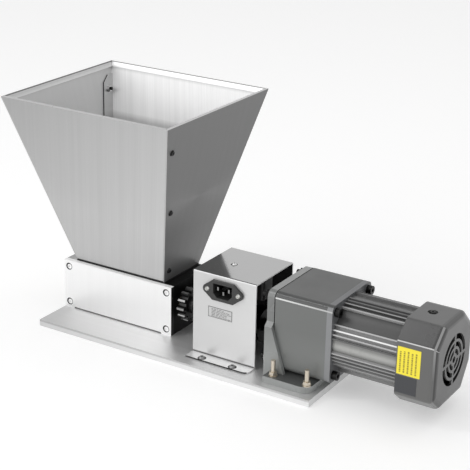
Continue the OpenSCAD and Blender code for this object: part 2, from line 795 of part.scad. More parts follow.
// Drive cover
module cover_profile() {
    w = cover_w;
    h = cover_h;
    translate([cover_cy, base_t]) {
        difference() {
            translate([0, h / 2]) rounded_rect(w, h, cover_bend_r);
            translate([0, h / 2])
                rounded_rect(w - 2 * cover_sheet, h - 2 * cover_sheet, cover_bend_r - cover_sheet);
            translate([-w / 2 + cover_sheet, -cut]) square([w - 2 * cover_sheet, h / 2]);
        }
        for (side = [-1, 1]) translate([side * (w / 2 - cover_sheet / 2) - cover_sheet / 2, 0])
            square([cover_sheet, cover_bend_r * 2]);
    }
}
module cover_foot(side) {
    y_edge = side < 0 ? cover_y0 : cover_y1;
    along_z(base_t, base_t + cover_sheet) difference() {
        union() {
            translate([cover_x0, side < 0 ? y_edge - cover_flange + cover_corner_r : y_edge - cover_sheet])
                square([cover_len, cover_flange - cover_corner_r + cover_sheet]);
            translate([cover_x0, side < 0 ? y_edge - cover_flange : y_edge])
                square([cover_len - cover_corner_r, cover_flange]);
            translate([cover_x1 - cover_corner_r, y_edge + side * (cover_flange - cover_corner_r)])
                circle(cover_corner_r);
        }
    }
}
module at_cover_screws() {
    for (k = [0, 1], side = [-1, 1])
        translate([cover_x0 + cover_screw_first + k * cover_screw_span,
                   (side < 0 ? cover_y0 : cover_y1) + side * (cover_flange - cover_screw_edge), 0])
            children();
}
module inlet_outline(w, h, chamfer) {
    polygon([[-w / 2, h / 2], [w / 2, h / 2], [w / 2, -h / 2 + chamfer], [w / 2 - chamfer, -h / 2],
             [-w / 2 + chamfer, -h / 2], [-w / 2, -h / 2 + chamfer]]);
}
module drive_cover() {
    color("gainsboro") difference() {
        union() {
            along_x(cover_x0, cover_x1) cover_profile();
            cover_foot(-1);
            cover_foot(1);
        }
        at_cover_screws() z_rod(cover_screw_r + hole_gap, base_t - cut, base_t + cover_sheet + cut);
        translate([inlet_x, 0, inlet_z]) {
            along_y(cover_y0 - cut, cover_y0 + cover_sheet + cut)
                inlet_outline(inlet_body_w + 2 * hole_gap, inlet_body_h + 2 * hole_gap, inlet_chamfer);
            for (side = [-1, 1]) translate([side * inlet_screw_span / 2, 0, 0])
                y_rod(inlet_screw_r + hole_gap, cover_y0 - cut, cover_y0 + cover_sheet + cut);
        }
        translate([capacitor_screw_x, capacitor_screw_y, 0])
            z_rod(capacitor_screw_r + hole_gap, capacitor_z1 - cut, cover_z1 + cut);
    }
}
module cover_screws() {
    color("slategray") at_cover_screws() translate([0, 0, base_t + cover_sheet]) mirror([0, 0, 1])
        button_screw(cover_screw_r, cover_screw_head_r, cover_screw_head_h, base_t + cover_sheet - cut);
}

// Appliance inlet: its flange narrows in straight lines to a round ear about each screw.
// The lines run a little inside the ears' circles, so that they cross them cleanly.
module inlet_flange() {
    dx = (inlet_flat - inlet_screw_span) / 2;
    dy = inlet_h / 2;
    reach = inlet_ear_r - inlet_ear_bite;
    turn = atan2(dy, dx) - acos(reach / norm([dx, dy]));
    x = inlet_screw_span / 2 + reach * cos(turn);
    y = reach * sin(turn);
    polygon([[-inlet_flat / 2, dy], [inlet_flat / 2, dy], [x, y], [x, -y], [inlet_flat / 2, -dy],
             [-inlet_flat / 2, -dy], [-x, -y], [-x, y]]);
    for (side = [-1, 1]) translate([side * inlet_screw_span / 2, 0]) circle(inlet_ear_r);
}
module power_inlet() {
    y_front = cover_y0 - inlet_flange_t;
    color("darkslategray") translate([inlet_x, 0, inlet_z]) difference() {
        union() {
            along_y(y_front, cover_y0) inlet_flange();
            along_y(cover_y0 - cut, cover_y0 + inlet_body_depth)
                inlet_outline(inlet_body_w, inlet_body_h, inlet_chamfer);
        }
        along_y(y_front - cut, y_front + inlet_cavity_depth)
            inlet_outline(inlet_body_w - 2 * inlet_wall, inlet_body_h - 2 * inlet_wall, inlet_chamfer);
        for (side = [-1, 1]) translate([side * inlet_screw_span / 2, 0, 0])
            y_rod(inlet_screw_r + hole_gap, y_front - cut, cover_y0 + cut);
        inlet_pin_places() pin_blank(hole_gap / 2, y_front + pin_recess, cover_y0 + inlet_body_depth + cut);
    }
}
module inlet_pin_places() {
    for (side = [-1, 1]) translate([side * pin_span / 2, 0, pin_row_up]) children();
    translate([0, 0, -earth_pin_down]) children();
}
module pin_blank(grow, y0, y1) {
    block(-pin_w / 2 - grow, pin_w / 2 + grow, y0, y1, -pin_h / 2 - grow, pin_h / 2 + grow);
}
module inlet_pins() {
    y0 = cover_y0 - inlet_flange_t + pin_recess;
    color("gold") translate([inlet_x, 0, inlet_z]) inlet_pin_places() pin_blank(0, y0, y0 + pin_len);
}
module inlet_screws() {
    y_front = cover_y0 - inlet_flange_t;
    color("silver") for (side = [-1, 1]) translate([inlet_x + side * inlet_screw_span / 2, 0, inlet_z]) {
        translate([0, y_front, 0]) rotate([-90, 0, 0])
            button_screw(inlet_screw_r, inlet_screw_head_r, inlet_screw_head_h, inlet_screw_len);
        translate([0, cover_y0 + cover_sheet, 0]) rotate([-90, 0, 0])
            nut(inlet_nut_r, inlet_screw_r, inlet_nut_h);
    }
}

// Capacitor and the bare rating plate
module run_capacitor() {
    color("dimgray") difference() {
        union() {
            translate([capacitor_x0 + capacitor_len / 2, capacitor_screw_y, 0])
                along_z(capacitor_z1 - capacitor_h, capacitor_z1)
                    rounded_rect(capacitor_len, capacitor_w, capacitor_corner_r);
            block(capacitor_screw_x - capacitor_ear_len / 2, capacitor_x0 + capacitor_corner_r,
                  capacitor_screw_y - capacitor_ear_len / 2, capacitor_screw_y + capacitor_ear_len / 2,
                  capacitor_z1 - capacitor_ear_t, capacitor_z1);
        }
        translate([capacitor_screw_x, capacitor_screw_y, 0])
            z_rod(capacitor_screw_r + hole_gap, capacitor_z1 - capacitor_ear_t - cut, capacitor_z1 + cut);
    }
}
module capacitor_screw() {
    grip = cover_sheet + capacitor_ear_t + capacitor_nut_h;
    color("slategray") translate([capacitor_screw_x, capacitor_screw_y, 0]) {
        translate([0, 0, cover_z1]) mirror([0, 0, 1])
            button_screw(capacitor_screw_r, capacitor_screw_head_r, capacitor_screw_head_h, grip + cut);
        translate([0, 0, cover_z1 - grip]) nut(capacitor_nut_r, capacitor_screw_r, capacitor_nut_h);
    }
}
module rating_plate() {
    color("whitesmoke") block(cover_x0 + plate_x_in, cover_x0 + plate_x_in + plate_w, cover_y0 - plate_t,
        cover_y0, cover_z1 - plate_down - plate_h, cover_z1 - plate_down);
}

// Jaw coupling between the roller shaft and the output shaft
module wedge(a0, a1, r) { polygon([[0, 0], polar(r, a0), polar(r, (a0 + a1) / 2), polar(r, a1)]); }
module jaws(x0, x1, turn) {
    for (k = [0:jaw_count - 1]) intersection() {
        difference() {
            x_rod(hub_r, x0, x1);
            x_rod(spider_core_r + hole_gap, x0 - cut, x1 + cut);
        }
        along_x(x0, x1) wedge(turn + 360 * k / jaw_count - jaw_angle / 2,
                              turn + 360 * k / jaw_count + jaw_angle / 2, 2 * hub_r);
    }
}
module coupling_hub(x0, jaw_x0, jaw_x1, turn, bore) {
    difference() {
        union() {
            x_rod(hub_r, x0, x0 + hub_len);
            jaws(jaw_x0, jaw_x1, turn);
        }
        x_rod(bore, x0 - cut, x0 + hub_len + cut);
    }
}
module mill_coupling_hub() {
    color("silver") at_drive() coupling_hub(hub_a_x0, hub_a_x1, hub_a_x1 + jaw_gap + jaw_len, 0, journal_r);
}
module motor_coupling_hub() {
    color("silver") at_drive()
        coupling_hub(hub_b_x0, hub_b_x0 - jaw_gap - jaw_len, hub_b_x0, 180 / jaw_count, output_r);
}
module coupling_spider() {
    x0 = hub_a_x1 + jaw_gap;
    color("firebrick") at_drive() {
        x_rod(spider_core_r, x0, x0 + jaw_len);
        for (k = [0:2 * jaw_count - 1]) intersection() {
            x_rod(hub_r - jaw_gap, x0, x0 + jaw_len);
            along_x(x0, x0 + jaw_len)
                wedge(180 / jaw_count * (k + 1 / 2) - spider_arm_angle / 2,
                      180 / jaw_count * (k + 1 / 2) + spider_arm_angle / 2, 2 * hub_r);
        }
    }
}

// Mounting bracket with its foot and fasteners
module bracket_profile() {
    top = motor_z + half;
    flare_z = motor_z + bracket_flare_top;
    translate([bracket_corner_r - half, top - bracket_corner_r])
        square([frame_size - 2 * bracket_corner_r, bracket_corner_r]);
    for (side = [-1, 1])
        translate([side * (half - bracket_corner_r), top - bracket_corner_r]) circle(bracket_corner_r);
    polygon([[-half, top - bracket_corner_r], [-half, flare_z],
             [-half - bracket_flare, flare_z - bracket_flare_step], [-half - bracket_flare, base_t],
             [half + bracket_flare, base_t], [half + bracket_flare, flare_z - bracket_flare_step],
             [half, flare_z], [half, top - bracket_corner_r]]);
}
module mounting_bracket() {
    foot_x1 = gear_x0 + foot_len;
    color("gray") difference() {
        union() {
            along_x(bracket_x0, gear_x0) bracket_profile();
            along_z(base_t, foot_top) {
                translate([gear_x0 - cut, -foot_hw])
                    square([foot_len - foot_corner_r + cut, 2 * foot_hw]);
                translate([gear_x0, foot_corner_r - foot_hw])
                    square([foot_len, 2 * (foot_hw - foot_corner_r)]);
                for (side = [-1, 1])
                    translate([foot_x1 - foot_corner_r, side * (foot_hw - foot_corner_r)])
                        circle(foot_corner_r);
            }
            for (side = [-1, 1]) gusset(side);
        }
        at_drive() x_rod(boss_r + boss_clear, bracket_x0 - cut, gear_x0 + cut);
        at_through_screws() x_rod(through_r + hole_gap, bracket_x0 - cut, gear_x0 + cut);
        at_foot_bolts() z_rod(foot_bolt_r + hole_gap, base_t - cut, foot_top + cut);
    }
}
module gusset(side) {
    y_out = half + bracket_flare;
    flare_z = motor_z + bracket_flare_top - bracket_flare_step;
    y0 = side < 0 ? -y_out : y_out - gusset_t;
    along_y(y0, y0 + gusset_t) polygon([
        [gear_x0 - cut, flare_z], [gear_x0, flare_z], [gear_x0 + gusset_foot, foot_top],
        [gear_x0 + gusset_foot, foot_top - cut], [gear_x0 - cut, foot_top - cut]]);
}
module foot_bolts() {
    color("wheat") at_foot_bolts()
        countersunk(foot_bolt_r, foot_bolt_head_r, foot_bolt_head_h, foot_top + foot_bolt_tip);
}
module foot_nuts() {
    color("wheat") at_foot_bolts() translate([0, 0, foot_top + foot_washer_t])
        nut(foot_nut_r, foot_bolt_r, foot_nut_h);
}
module foot_washers() {
    color("wheat") at_foot_bolts() difference() {
        z_rod(foot_washer_r, foot_top, foot_top + foot_washer_t);
        z_rod(foot_bolt_r + hole_gap, foot_top - cut, foot_top + foot_washer_t + cut);
    }
}
module through_screws() {
    color("#222222") at_through_screws() {
        x_rod(through_r, bracket_x0 - through_nut_h - through_tip, gear_x1 + cut);
        difference() {
            x_rod(through_head_r, gear_x1, gear_x1 + through_head_h);
            along_x(gear_x1 + through_head_h * (1 - socket_depth_share), gear_x1 + through_head_h + cut)
                hex(through_head_r / 2);
        }
    }
}
module through_nuts() {
    color("dimgray") at_through_screws() translate([bracket_x0 - through_nut_h, 0, 0]) rotate([0, 90, 0])
        nut(through_nut_r, through_r, through_nut_h);
}

// Gearbox
module square_profile(inset = 0) {
    rounded_rect(frame_size - 2 * inset, frame_size - 2 * inset, frame_corner_r - inset);
}
module cavity_profile() {
    c = half - gearbox_wall;
    k = c - cavity_corner;
    polygon([[-k, -c], [k, -c], [c, -k], [c, k], [k, c], [-k, c], [-c, k], [-c, -k]]);
}
module gearbox_housing() {
    color("dimgray") difference() {
        union() {
            at_motor() along_x(gear_x0, motor_plate_x0) square_profile(gearbox_groove_depth);
            at_motor() along_x(gear_x0 + gearbox_groove_w, motor_plate_x0) square_profile();
            at_drive() x_rod(boss_r, gear_x0 - boss_len, gear_x0 + cut);
        }
        at_motor() along_x(gear_x0 + gearbox_front_t, motor_plate_x0 + cut) cavity_profile();
        at_drive() {
            x_rod(output_r + boss_clear, gear_x0 - boss_len - cut, gear_x0 + gearbox_front_t + cut);
            x_rod(bearing_r, gear_x0 - boss_len + seal_lip, gear_x0 - boss_len + seal_lip + bearing_w);
            x_rod(bearing_r - 2 * seal_lip, gear_x0, gear_x0 + gearbox_front_t + cut);
        }
        at_counter() x_rod(counter_bush_r, gear_x0 + gearbox_front_t - counter_bush_len,
                           gear_x0 + gearbox_front_t + cut);
        at_through_screws() x_rod(through_r + hole_gap, gear_x0 - cut, motor_plate_x0 + cut);
    }
}
module output_shaft() {
    color("silver") at_drive() {
        x_rod(output_r, hub_b_x0 + shaft_end_gap, output_gear_x1);
        x_rod(rear_journal_r, output_gear_x1 - cut, gear_x1 - cut);
    }
}
module output_gear() {
    turn = stage_b_angle + 180 + 180 / output_teeth;
    color("darkgray") at_drive() difference() {
        rotate([turn, 0, 0]) along_x(output_gear_x0, output_gear_x1) train_outline(output_teeth);
        x_rod(output_r, output_gear_x0 - cut, output_gear_x1 + cut);
    }
}
module ring(r0, r1, x0, x1) {
    difference() {
        x_rod(r1, x0, x1);
        x_rod(r0, x0 - cut, x1 + cut);
    }
}
module output_bearings() {
    x0 = gear_x0 - boss_len + seal_lip;
    color("lightsteelblue") at_drive() {
        ring(output_r + running_gap, bearing_r, x0, x0 + bearing_w);
        ring(rear_journal_r + running_gap, rear_bush_r, motor_plate_x0, gear_x1);
    }
}
module countershaft() {
    color("silver") at_counter() {
        x_rod(counter_r, gear_x0 + gearbox_front_t - counter_bush_len, gear_x1 - cut);
        rotate([stage_b_angle, 0, 0])
            along_x(output_gear_x0 - counter_pinion_overlap, output_gear_x1 + counter_pinion_overlap)
                train_outline(counter_pinion_teeth);
    }
}
module countershaft_gear() {
    turn = stage_a_angle + 180 + 180 / counter_teeth;
    color("darkgray") at_counter() difference() {
        rotate([turn, 0, 0]) along_x(counter_gear_x0, counter_gear_x1) train_outline(counter_teeth);
        x_rod(counter_r, counter_gear_x0 - cut, counter_gear_x1 + cut);
    }
}
module countershaft_bushes() {
    color("goldenrod") at_counter() {
        ring(counter_r + running_gap, counter_bush_r, gear_x0 + gearbox_front_t - counter_bush_len,
             gear_x0 + gearbox_front_t);
        ring(counter_r + running_gap, counter_bush_r, motor_plate_x0, gear_x1);
    }
}

// Motor
module motor_front_plate() {
    color("gray") difference() {
        at_motor() along_x(motor_plate_x0, gear_x1) square_profile();
        at_motor() x_rod(motor_bearing_r, motor_plate_x0 - cut, gear_x1 + cut);
        at_drive() x_rod(rear_bush_r, motor_plate_x0 - cut, gear_x1 + cut);
        at_counter() x_rod(counter_bush_r, motor_plate_x0 - cut, gear_x1 + cut);
        at_through_screws() x_rod(through_r + hole_gap, motor_plate_x0 - cut, gear_x1 + cut);
    }
}
module motor_housing() {
    color("gray") at_motor() difference() {
        union() {
            x_rod(housing_r, gear_x1, housing_x1);
            for (k = [0:fin_sides - 1], a = fin_angles) rotate([360 * k / fin_sides + a, 0, 0])
                block(gear_x1, housing_x1, housing_r - fin_root, housing_r + fin_h, -fin_t / 2, fin_t / 2);
        }
        x_rod(bore_r, gear_x1 - cut, housing_x1 + cut);
    }
}
module stator_core() { color("slategray") at_motor() ring(rotor_r + air_gap, bore_r, core_x0, core_x1); }
module stator_windings() {
    color("peru") at_motor() {
        ring(winding_r0, winding_r1, core_x0 - winding_len, core_x0);
        ring(winding_r0, winding_r1, core_x1, core_x1 + winding_len);
    }
}
module rotor_shaft() {
    pinion_x0 = counter_gear_x0 - pinion_overlap;
    pinion_x1 = counter_gear_x1 + pinion_overlap;
    color("silver") at_motor() {
        x_rod(rotor_shaft_r, pinion_x1 - cut, fan_x1);
        rotate([stage_a_angle, 0, 0]) along_x(pinion_x0, pinion_x1) train_outline(pinion_teeth);
    }
}
module rotor_core() { color("slategray") at_motor() ring(rotor_shaft_r, rotor_r, core_x0, core_x1); }
module motor_bearings() {
    color("lightsteelblue") at_motor() {
        ring(rotor_shaft_r + running_gap, motor_bearing_r, motor_plate_x0,
             motor_plate_x0 + motor_bearing_w);
        ring(rotor_shaft_r + running_gap, motor_bearing_r, bell_x1 - motor_bearing_w, bell_x1);
    }
}
module rear_end_bell() {
    color("gray") at_motor() difference() {
        union() {
            x_rod(bore_r, housing_x1 - bell_spigot, housing_x1 + cut);
            x_rod(bell_rim_r, housing_x1, bell_x1);
            for (side = [-1, 1])
                block(housing_x1, housing_x1 + bell_lug_len, -bell_lug_w / 2, bell_lug_w / 2,
                      side < 0 ? -bell_rim_r : bell_rim_r - bell_lug_h,
                      side < 0 ? bell_lug_h - bell_rim_r : bell_rim_r);
        }
        x_rod(bore_r - bell_t, housing_x1 - bell_spigot - cut, housing_x1);
        x_rod(motor_bearing_r, bell_x1 - motor_bearing_w, bell_x1 + cut);
        x_rod(motor_bearing_r - bell_t / 2, housing_x1 - cut, bell_x1);
        for (side = [-1, 1]) translate([housing_x1 + cover_lug_x, 0, 0])
            z_rod(fan_screw_r, side < 0 ? -fan_half : bell_rim_r - bell_lug_h - cut,
                  side < 0 ? bell_lug_h - bell_rim_r + cut : fan_half);
    }
}
module cooling_fan() {
    color("#303030") at_motor() difference() {
        union() {
            x_rod(fan_hub_r, fan_x0, fan_x1);
            x_rod(fan_r, fan_x0, fan_x0 + fan_disc_t);
            for (k = [0:fan_blades - 1]) rotate([360 * k / fan_blades, 0, 0])
                block(fan_x0, fan_x1, fan_hub_r - cut, fan_r, -fan_blade_t / 2, fan_blade_t / 2);
        }
        x_rod(rotor_shaft_r, fan_x0 - cut, fan_x1 + cut);
    }
}

// Fan cover: a square tube with cut corners and a grille. The corners run from top front
// through bottom front and bottom back to top back.
module fan_profile(inset) {
    signs = [[-1, 1], [-1, -1], [1, -1], [1, 1]];
    reach = fan_half - inset;
    hull() for (k = [0:3]) {
        c = fan_chamfer_shares[k] * fan_cover_size;
        r = max(fan_corner_rs[k] - inset, fan_corner_rs[k] / 4);
        for (p = [[reach - r, fan_half - c[1] - inset / 2], [fan_half - c[0] - inset / 2, reach - r]])
            translate([signs[k][0] * min(p[0], reach - r), signs[k][1] * min(p[1], reach - r)])
                circle(r, $fn = fan_round_fn);
    }
}
module fan_form(inset, x0, x1, edge) {
    hull() {
        along_x(x0, x1 - edge) fan_profile(inset);
        for (k = [1:fan_edge_steps]) along_x(x0, x1 - edge + edge * sin(90 * k / fan_edge_steps))
            fan_profile(inset + edge * (1 - cos(90 * k / fan_edge_steps)));
    }
}
module grille_cut() {
    x0 = fan_cover_x1 - fan_cover_wall - cut;
    x1 = fan_cover_x1 + cut;
    difference() {
        for (band = grille_rings) ring(band[0], band[1], x0, x1);
        for (k = [0:grille_bars - 1]) rotate([180 * k / grille_bars, 0, 0])
            block(x0 - cut, x1 + cut, -fan_half, fan_half, -grille_bar_w / 2, grille_bar_w / 2);
    }
    x_rod(grille_eye_r, x0, x1);
}
module fan_cover() {
    color("dimgray") at_motor() difference() {
        fan_form(0, housing_x1, fan_cover_x1, fan_edge_r);
        fan_form(fan_cover_wall, housing_x1 - cut, fan_cover_x1 - fan_cover_wall,
                 fan_edge_r - fan_cover_wall);
        grille_cut();
        for (side = [0, 1]) translate([housing_x1 + cover_lug_x, 0, 0]) mirror([0, 0, side]) {
            z_rod(fan_screw_r + hole_gap, fan_half - 2 * fan_cover_wall, fan_half + cut);
            z_rod(fan_screw_recess_r, fan_half - fan_screw_recess, fan_half + cut);
        }
    }
}
module fan_cover_screws() {
    color("dimgray") at_motor() for (side = [0, 1]) translate([housing_x1 + cover_lug_x, 0, 0])
        mirror([0, 0, side]) translate([0, 0, fan_half - fan_screw_recess]) mirror([0, 0, 1])
            button_screw(fan_screw_r, fan_screw_head_r, fan_screw_head_h, fan_screw_len);
}
module motor_label() {
    color("gold") at_motor() block(housing_x1 + label_in, housing_x1 + label_in + label_w,
        -fan_half - label_t, -fan_half, label_top - label_h, label_top);
}

base_plate();
front_side_plate();
rear_side_plate();
left_end_plate();
right_end_plate();
side_plate_screws();
end_plate_bolts();
drive_roller();
idler_roller();
drive_gear();
idler_gear();
drive_roller_bushes();
left_gap_block();
right_gap_block();
left_adjusting_screw();
right_adjusting_screw();
adjuster_lock_nuts();
hopper_front_panel();
hopper_rear_panel();
hopper_left_panel();
hopper_right_panel();
hopper_corner_screws();
hopper_corner_nuts();
hopper_seat_screws();
drive_cover();
cover_screws();
power_inlet();
inlet_pins();
inlet_screws();
run_capacitor();
capacitor_screw();
rating_plate();
mill_coupling_hub();
coupling_spider();
motor_coupling_hub();
mounting_bracket();
foot_bolts();
foot_nuts();
foot_washers();
gearbox_housing();
output_shaft();
output_gear();
output_bearings();
countershaft();
countershaft_gear();
countershaft_bushes();
motor_front_plate();
through_screws();
through_nuts();
motor_housing();
stator_core();
stator_windings();
rotor_shaft();
rotor_core();
motor_bearings();
rear_end_bell();
cooling_fan();
fan_cover();
fan_cover_screws();
motor_label();
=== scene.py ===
import json
import math

import bmesh
import bpy
from mathutils import Matrix, Vector

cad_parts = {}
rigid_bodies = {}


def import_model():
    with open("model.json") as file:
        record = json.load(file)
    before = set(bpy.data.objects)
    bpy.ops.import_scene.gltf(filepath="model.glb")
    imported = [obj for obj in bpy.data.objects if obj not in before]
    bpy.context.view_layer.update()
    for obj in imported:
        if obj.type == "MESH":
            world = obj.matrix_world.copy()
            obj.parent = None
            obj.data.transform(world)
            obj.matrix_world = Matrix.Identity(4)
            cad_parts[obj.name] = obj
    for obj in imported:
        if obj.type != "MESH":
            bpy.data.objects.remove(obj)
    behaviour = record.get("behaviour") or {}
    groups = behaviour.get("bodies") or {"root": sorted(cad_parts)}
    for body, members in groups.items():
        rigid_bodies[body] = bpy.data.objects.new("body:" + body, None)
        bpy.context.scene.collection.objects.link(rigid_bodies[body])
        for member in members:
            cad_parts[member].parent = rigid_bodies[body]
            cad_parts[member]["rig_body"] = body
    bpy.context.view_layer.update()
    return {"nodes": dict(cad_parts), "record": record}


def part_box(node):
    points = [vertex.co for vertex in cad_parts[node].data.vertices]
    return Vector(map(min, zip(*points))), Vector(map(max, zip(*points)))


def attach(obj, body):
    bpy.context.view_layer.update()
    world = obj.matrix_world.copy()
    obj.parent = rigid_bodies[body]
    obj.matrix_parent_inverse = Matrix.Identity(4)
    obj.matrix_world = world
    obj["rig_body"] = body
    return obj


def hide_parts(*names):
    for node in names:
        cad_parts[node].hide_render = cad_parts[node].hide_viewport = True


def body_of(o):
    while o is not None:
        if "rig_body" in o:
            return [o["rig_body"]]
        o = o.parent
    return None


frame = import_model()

MM = 0.001
X, Y, Z = range(3)
RIGHT = Vector((1, 0, 0))
FRONT = Vector((0, -1, 0))
UP = Vector((0, 0, 1))
NODES = frame["nodes"]
SLOTS = {row["node"]: row["material_slot"] for row in frame["record"]["subparts"]}


# Camera, solved from the photograph. Lengths are in metres and angles in degrees.
CAMERA_TARGET = Vector((0.02704, 0.02391, 0.13044))
CAMERA_AZIMUTH = 31.512
CAMERA_ELEVATION = 21.178
CAMERA_ROLL = 1.207
CAMERA_DISTANCE = 1.5588
CAMERA_LENS_MM = 105.4
CAMERA_CLIP = (0.05, 50)


def make_camera():
    azimuth, elevation, roll = (math.radians(a) for a in (CAMERA_AZIMUTH, CAMERA_ELEVATION, CAMERA_ROLL))
    back = Vector((math.sin(azimuth) * math.cos(elevation), -math.cos(azimuth) * math.cos(elevation),
                   math.sin(elevation)))
    level = Vector((math.cos(azimuth), math.sin(azimuth), 0))
    above = back.cross(level)
    right = level * math.cos(roll) + above * math.sin(roll)
    up = above * math.cos(roll) - level * math.sin(roll)
    data = bpy.data.cameras.new("camera")
    data.lens = CAMERA_LENS_MM
    data.clip_start, data.clip_end = CAMERA_CLIP
    camera = bpy.data.objects.new("camera", data)
    bpy.context.scene.collection.objects.link(camera)
    axes = Matrix((right, up, back)).transposed().to_4x4()
    camera.matrix_world = Matrix.Translation(CAMERA_TARGET + back * CAMERA_DISTANCE) @ axes
    bpy.context.scene.camera = camera


# Studio: a light table, a white world and soft lamps
FLOOR_SIZE = 12.0
FLOOR_DROP = 0.2 * MM
FLOOR_COLOUR = 0.8
FLOOR_ROUGHNESS = 0.9
FLOOR_GLOW = 0.34
WORLD_LIGHT = 0.62
WORLD_WHITE = 1


def add_lamp(name, place, target, size, power, size_y=None):
    data = bpy.data.lights.new(name, "AREA")
    data.shape = "RECTANGLE"
    data.size, data.size_y = size, size_y or size
    data.energy = power
    lamp = bpy.data.objects.new(name, data)
    lamp.location = place
    lamp.rotation_mode = "QUATERNION"
    lamp.rotation_quaternion = (Vector(target) - Vector(place)).to_track_quat("-Z", "Y")
    bpy.context.scene.collection.objects.link(lamp)


def light_path_factor(tree):
    """1 for rays from the camera, from glossy surfaces and through glass."""
    path = tree.nodes.new("ShaderNodeLightPath")
    factor = path.outputs["Is Camera Ray"]
    for kind in ("Is Glossy Ray", "Is Transmission Ray"):
        larger = tree.nodes.new("ShaderNodeMath")
        larger.operation = "MAXIMUM"
        tree.links.new(factor, larger.inputs[0])
        tree.links.new(path.outputs[kind], larger.inputs[1])
        factor = larger.outputs[0]
    return factor


def add_background(tree, strength):
    background = tree.nodes.new("ShaderNodeBackground")
    background.inputs["Color"].default_value = (1, 1, 1, 1)
    background.inputs["Strength"].default_value = strength
    return background.outputs[0]


def make_world():
    world = bpy.data.worlds.new("studio")
    bpy.context.scene.world = world
    world.use_nodes = True
    tree = world.node_tree
    tree.nodes.clear()
    mix = tree.nodes.new("ShaderNodeMixShader")
    out = tree.nodes.new("ShaderNodeOutputWorld")
    tree.links.new(light_path_factor(tree), mix.inputs[0])
    tree.links.new(add_background(tree, WORLD_LIGHT), mix.inputs[1])
    tree.links.new(add_background(tree, WORLD_WHITE), mix.inputs[2])
    tree.links.new(mix.outputs[0], out.inputs["Surface"])


def make_floor():
    half = FLOOR_SIZE / 2
    mesh = bpy.data.meshes.new("floor")
    mesh.from_pydata([(-half, -half, 0), (half, -half, 0), (half, half, 0), (-half, half, 0)], [],
                     [(0, 1, 2, 3)])
    floor = bpy.data.objects.new("floor", mesh)
    floor.location.z = -FLOOR_DROP
    bpy.context.scene.collection.objects.link(floor)
    material = bpy.data.materials.new("floor_paint")
    material.use_nodes = True
    shader = material.node_tree.nodes["Principled BSDF"]
    shader.inputs["Base Color"].default_value = (FLOOR_COLOUR, FLOOR_COLOUR, FLOOR_COLOUR, 1)
    shader.inputs["Roughness"].default_value = FLOOR_ROUGHNESS
    shader.inputs["Emission Color"].default_value = (1, 1, 1, 1)
    shader.inputs["Emission Strength"].default_value = FLOOR_GLOW
    mesh.materials.append(material)


def make_studio():
    bpy.context.scene.view_settings.view_transform = "Standard"
    make_world()
    make_floor()
    add_lamp("key_lamp", (-0.7, -1.9, 0.9), (0, 0, 0.1), 1.7, 9)
    add_lamp("top_lamp", (0.2, 0.6, 2.0), (0, 0, 0.1), 1.2, 4)
    add_lamp("strip_lamp", (-0.6, -0.6, 1.25), (0.15, 0, 0.1), 0.12, 2.5, 0.9)


# Materials. Each maker below builds one material and enters it in FINISHES under its name. Ramps are rows
# of what Paint.along takes, and colours are linear.
FINISHES = {}
COAT_ROUGHNESS = 0.25
FINE_RELIEF = 0.1 * MM

# Noise scales of the finishes, in waves a metre of the part
BRUSH_PATCHES = 14.0
SMUDGES = 18.0
TOOL_MARKS = 420.0
METAL_TONES = 60.0
ORANGE_PEEL = 900.0
PAINT_TONES = 25.0
PLASTIC_GRAIN = 1600.0
PLASTIC_TONES = 40.0


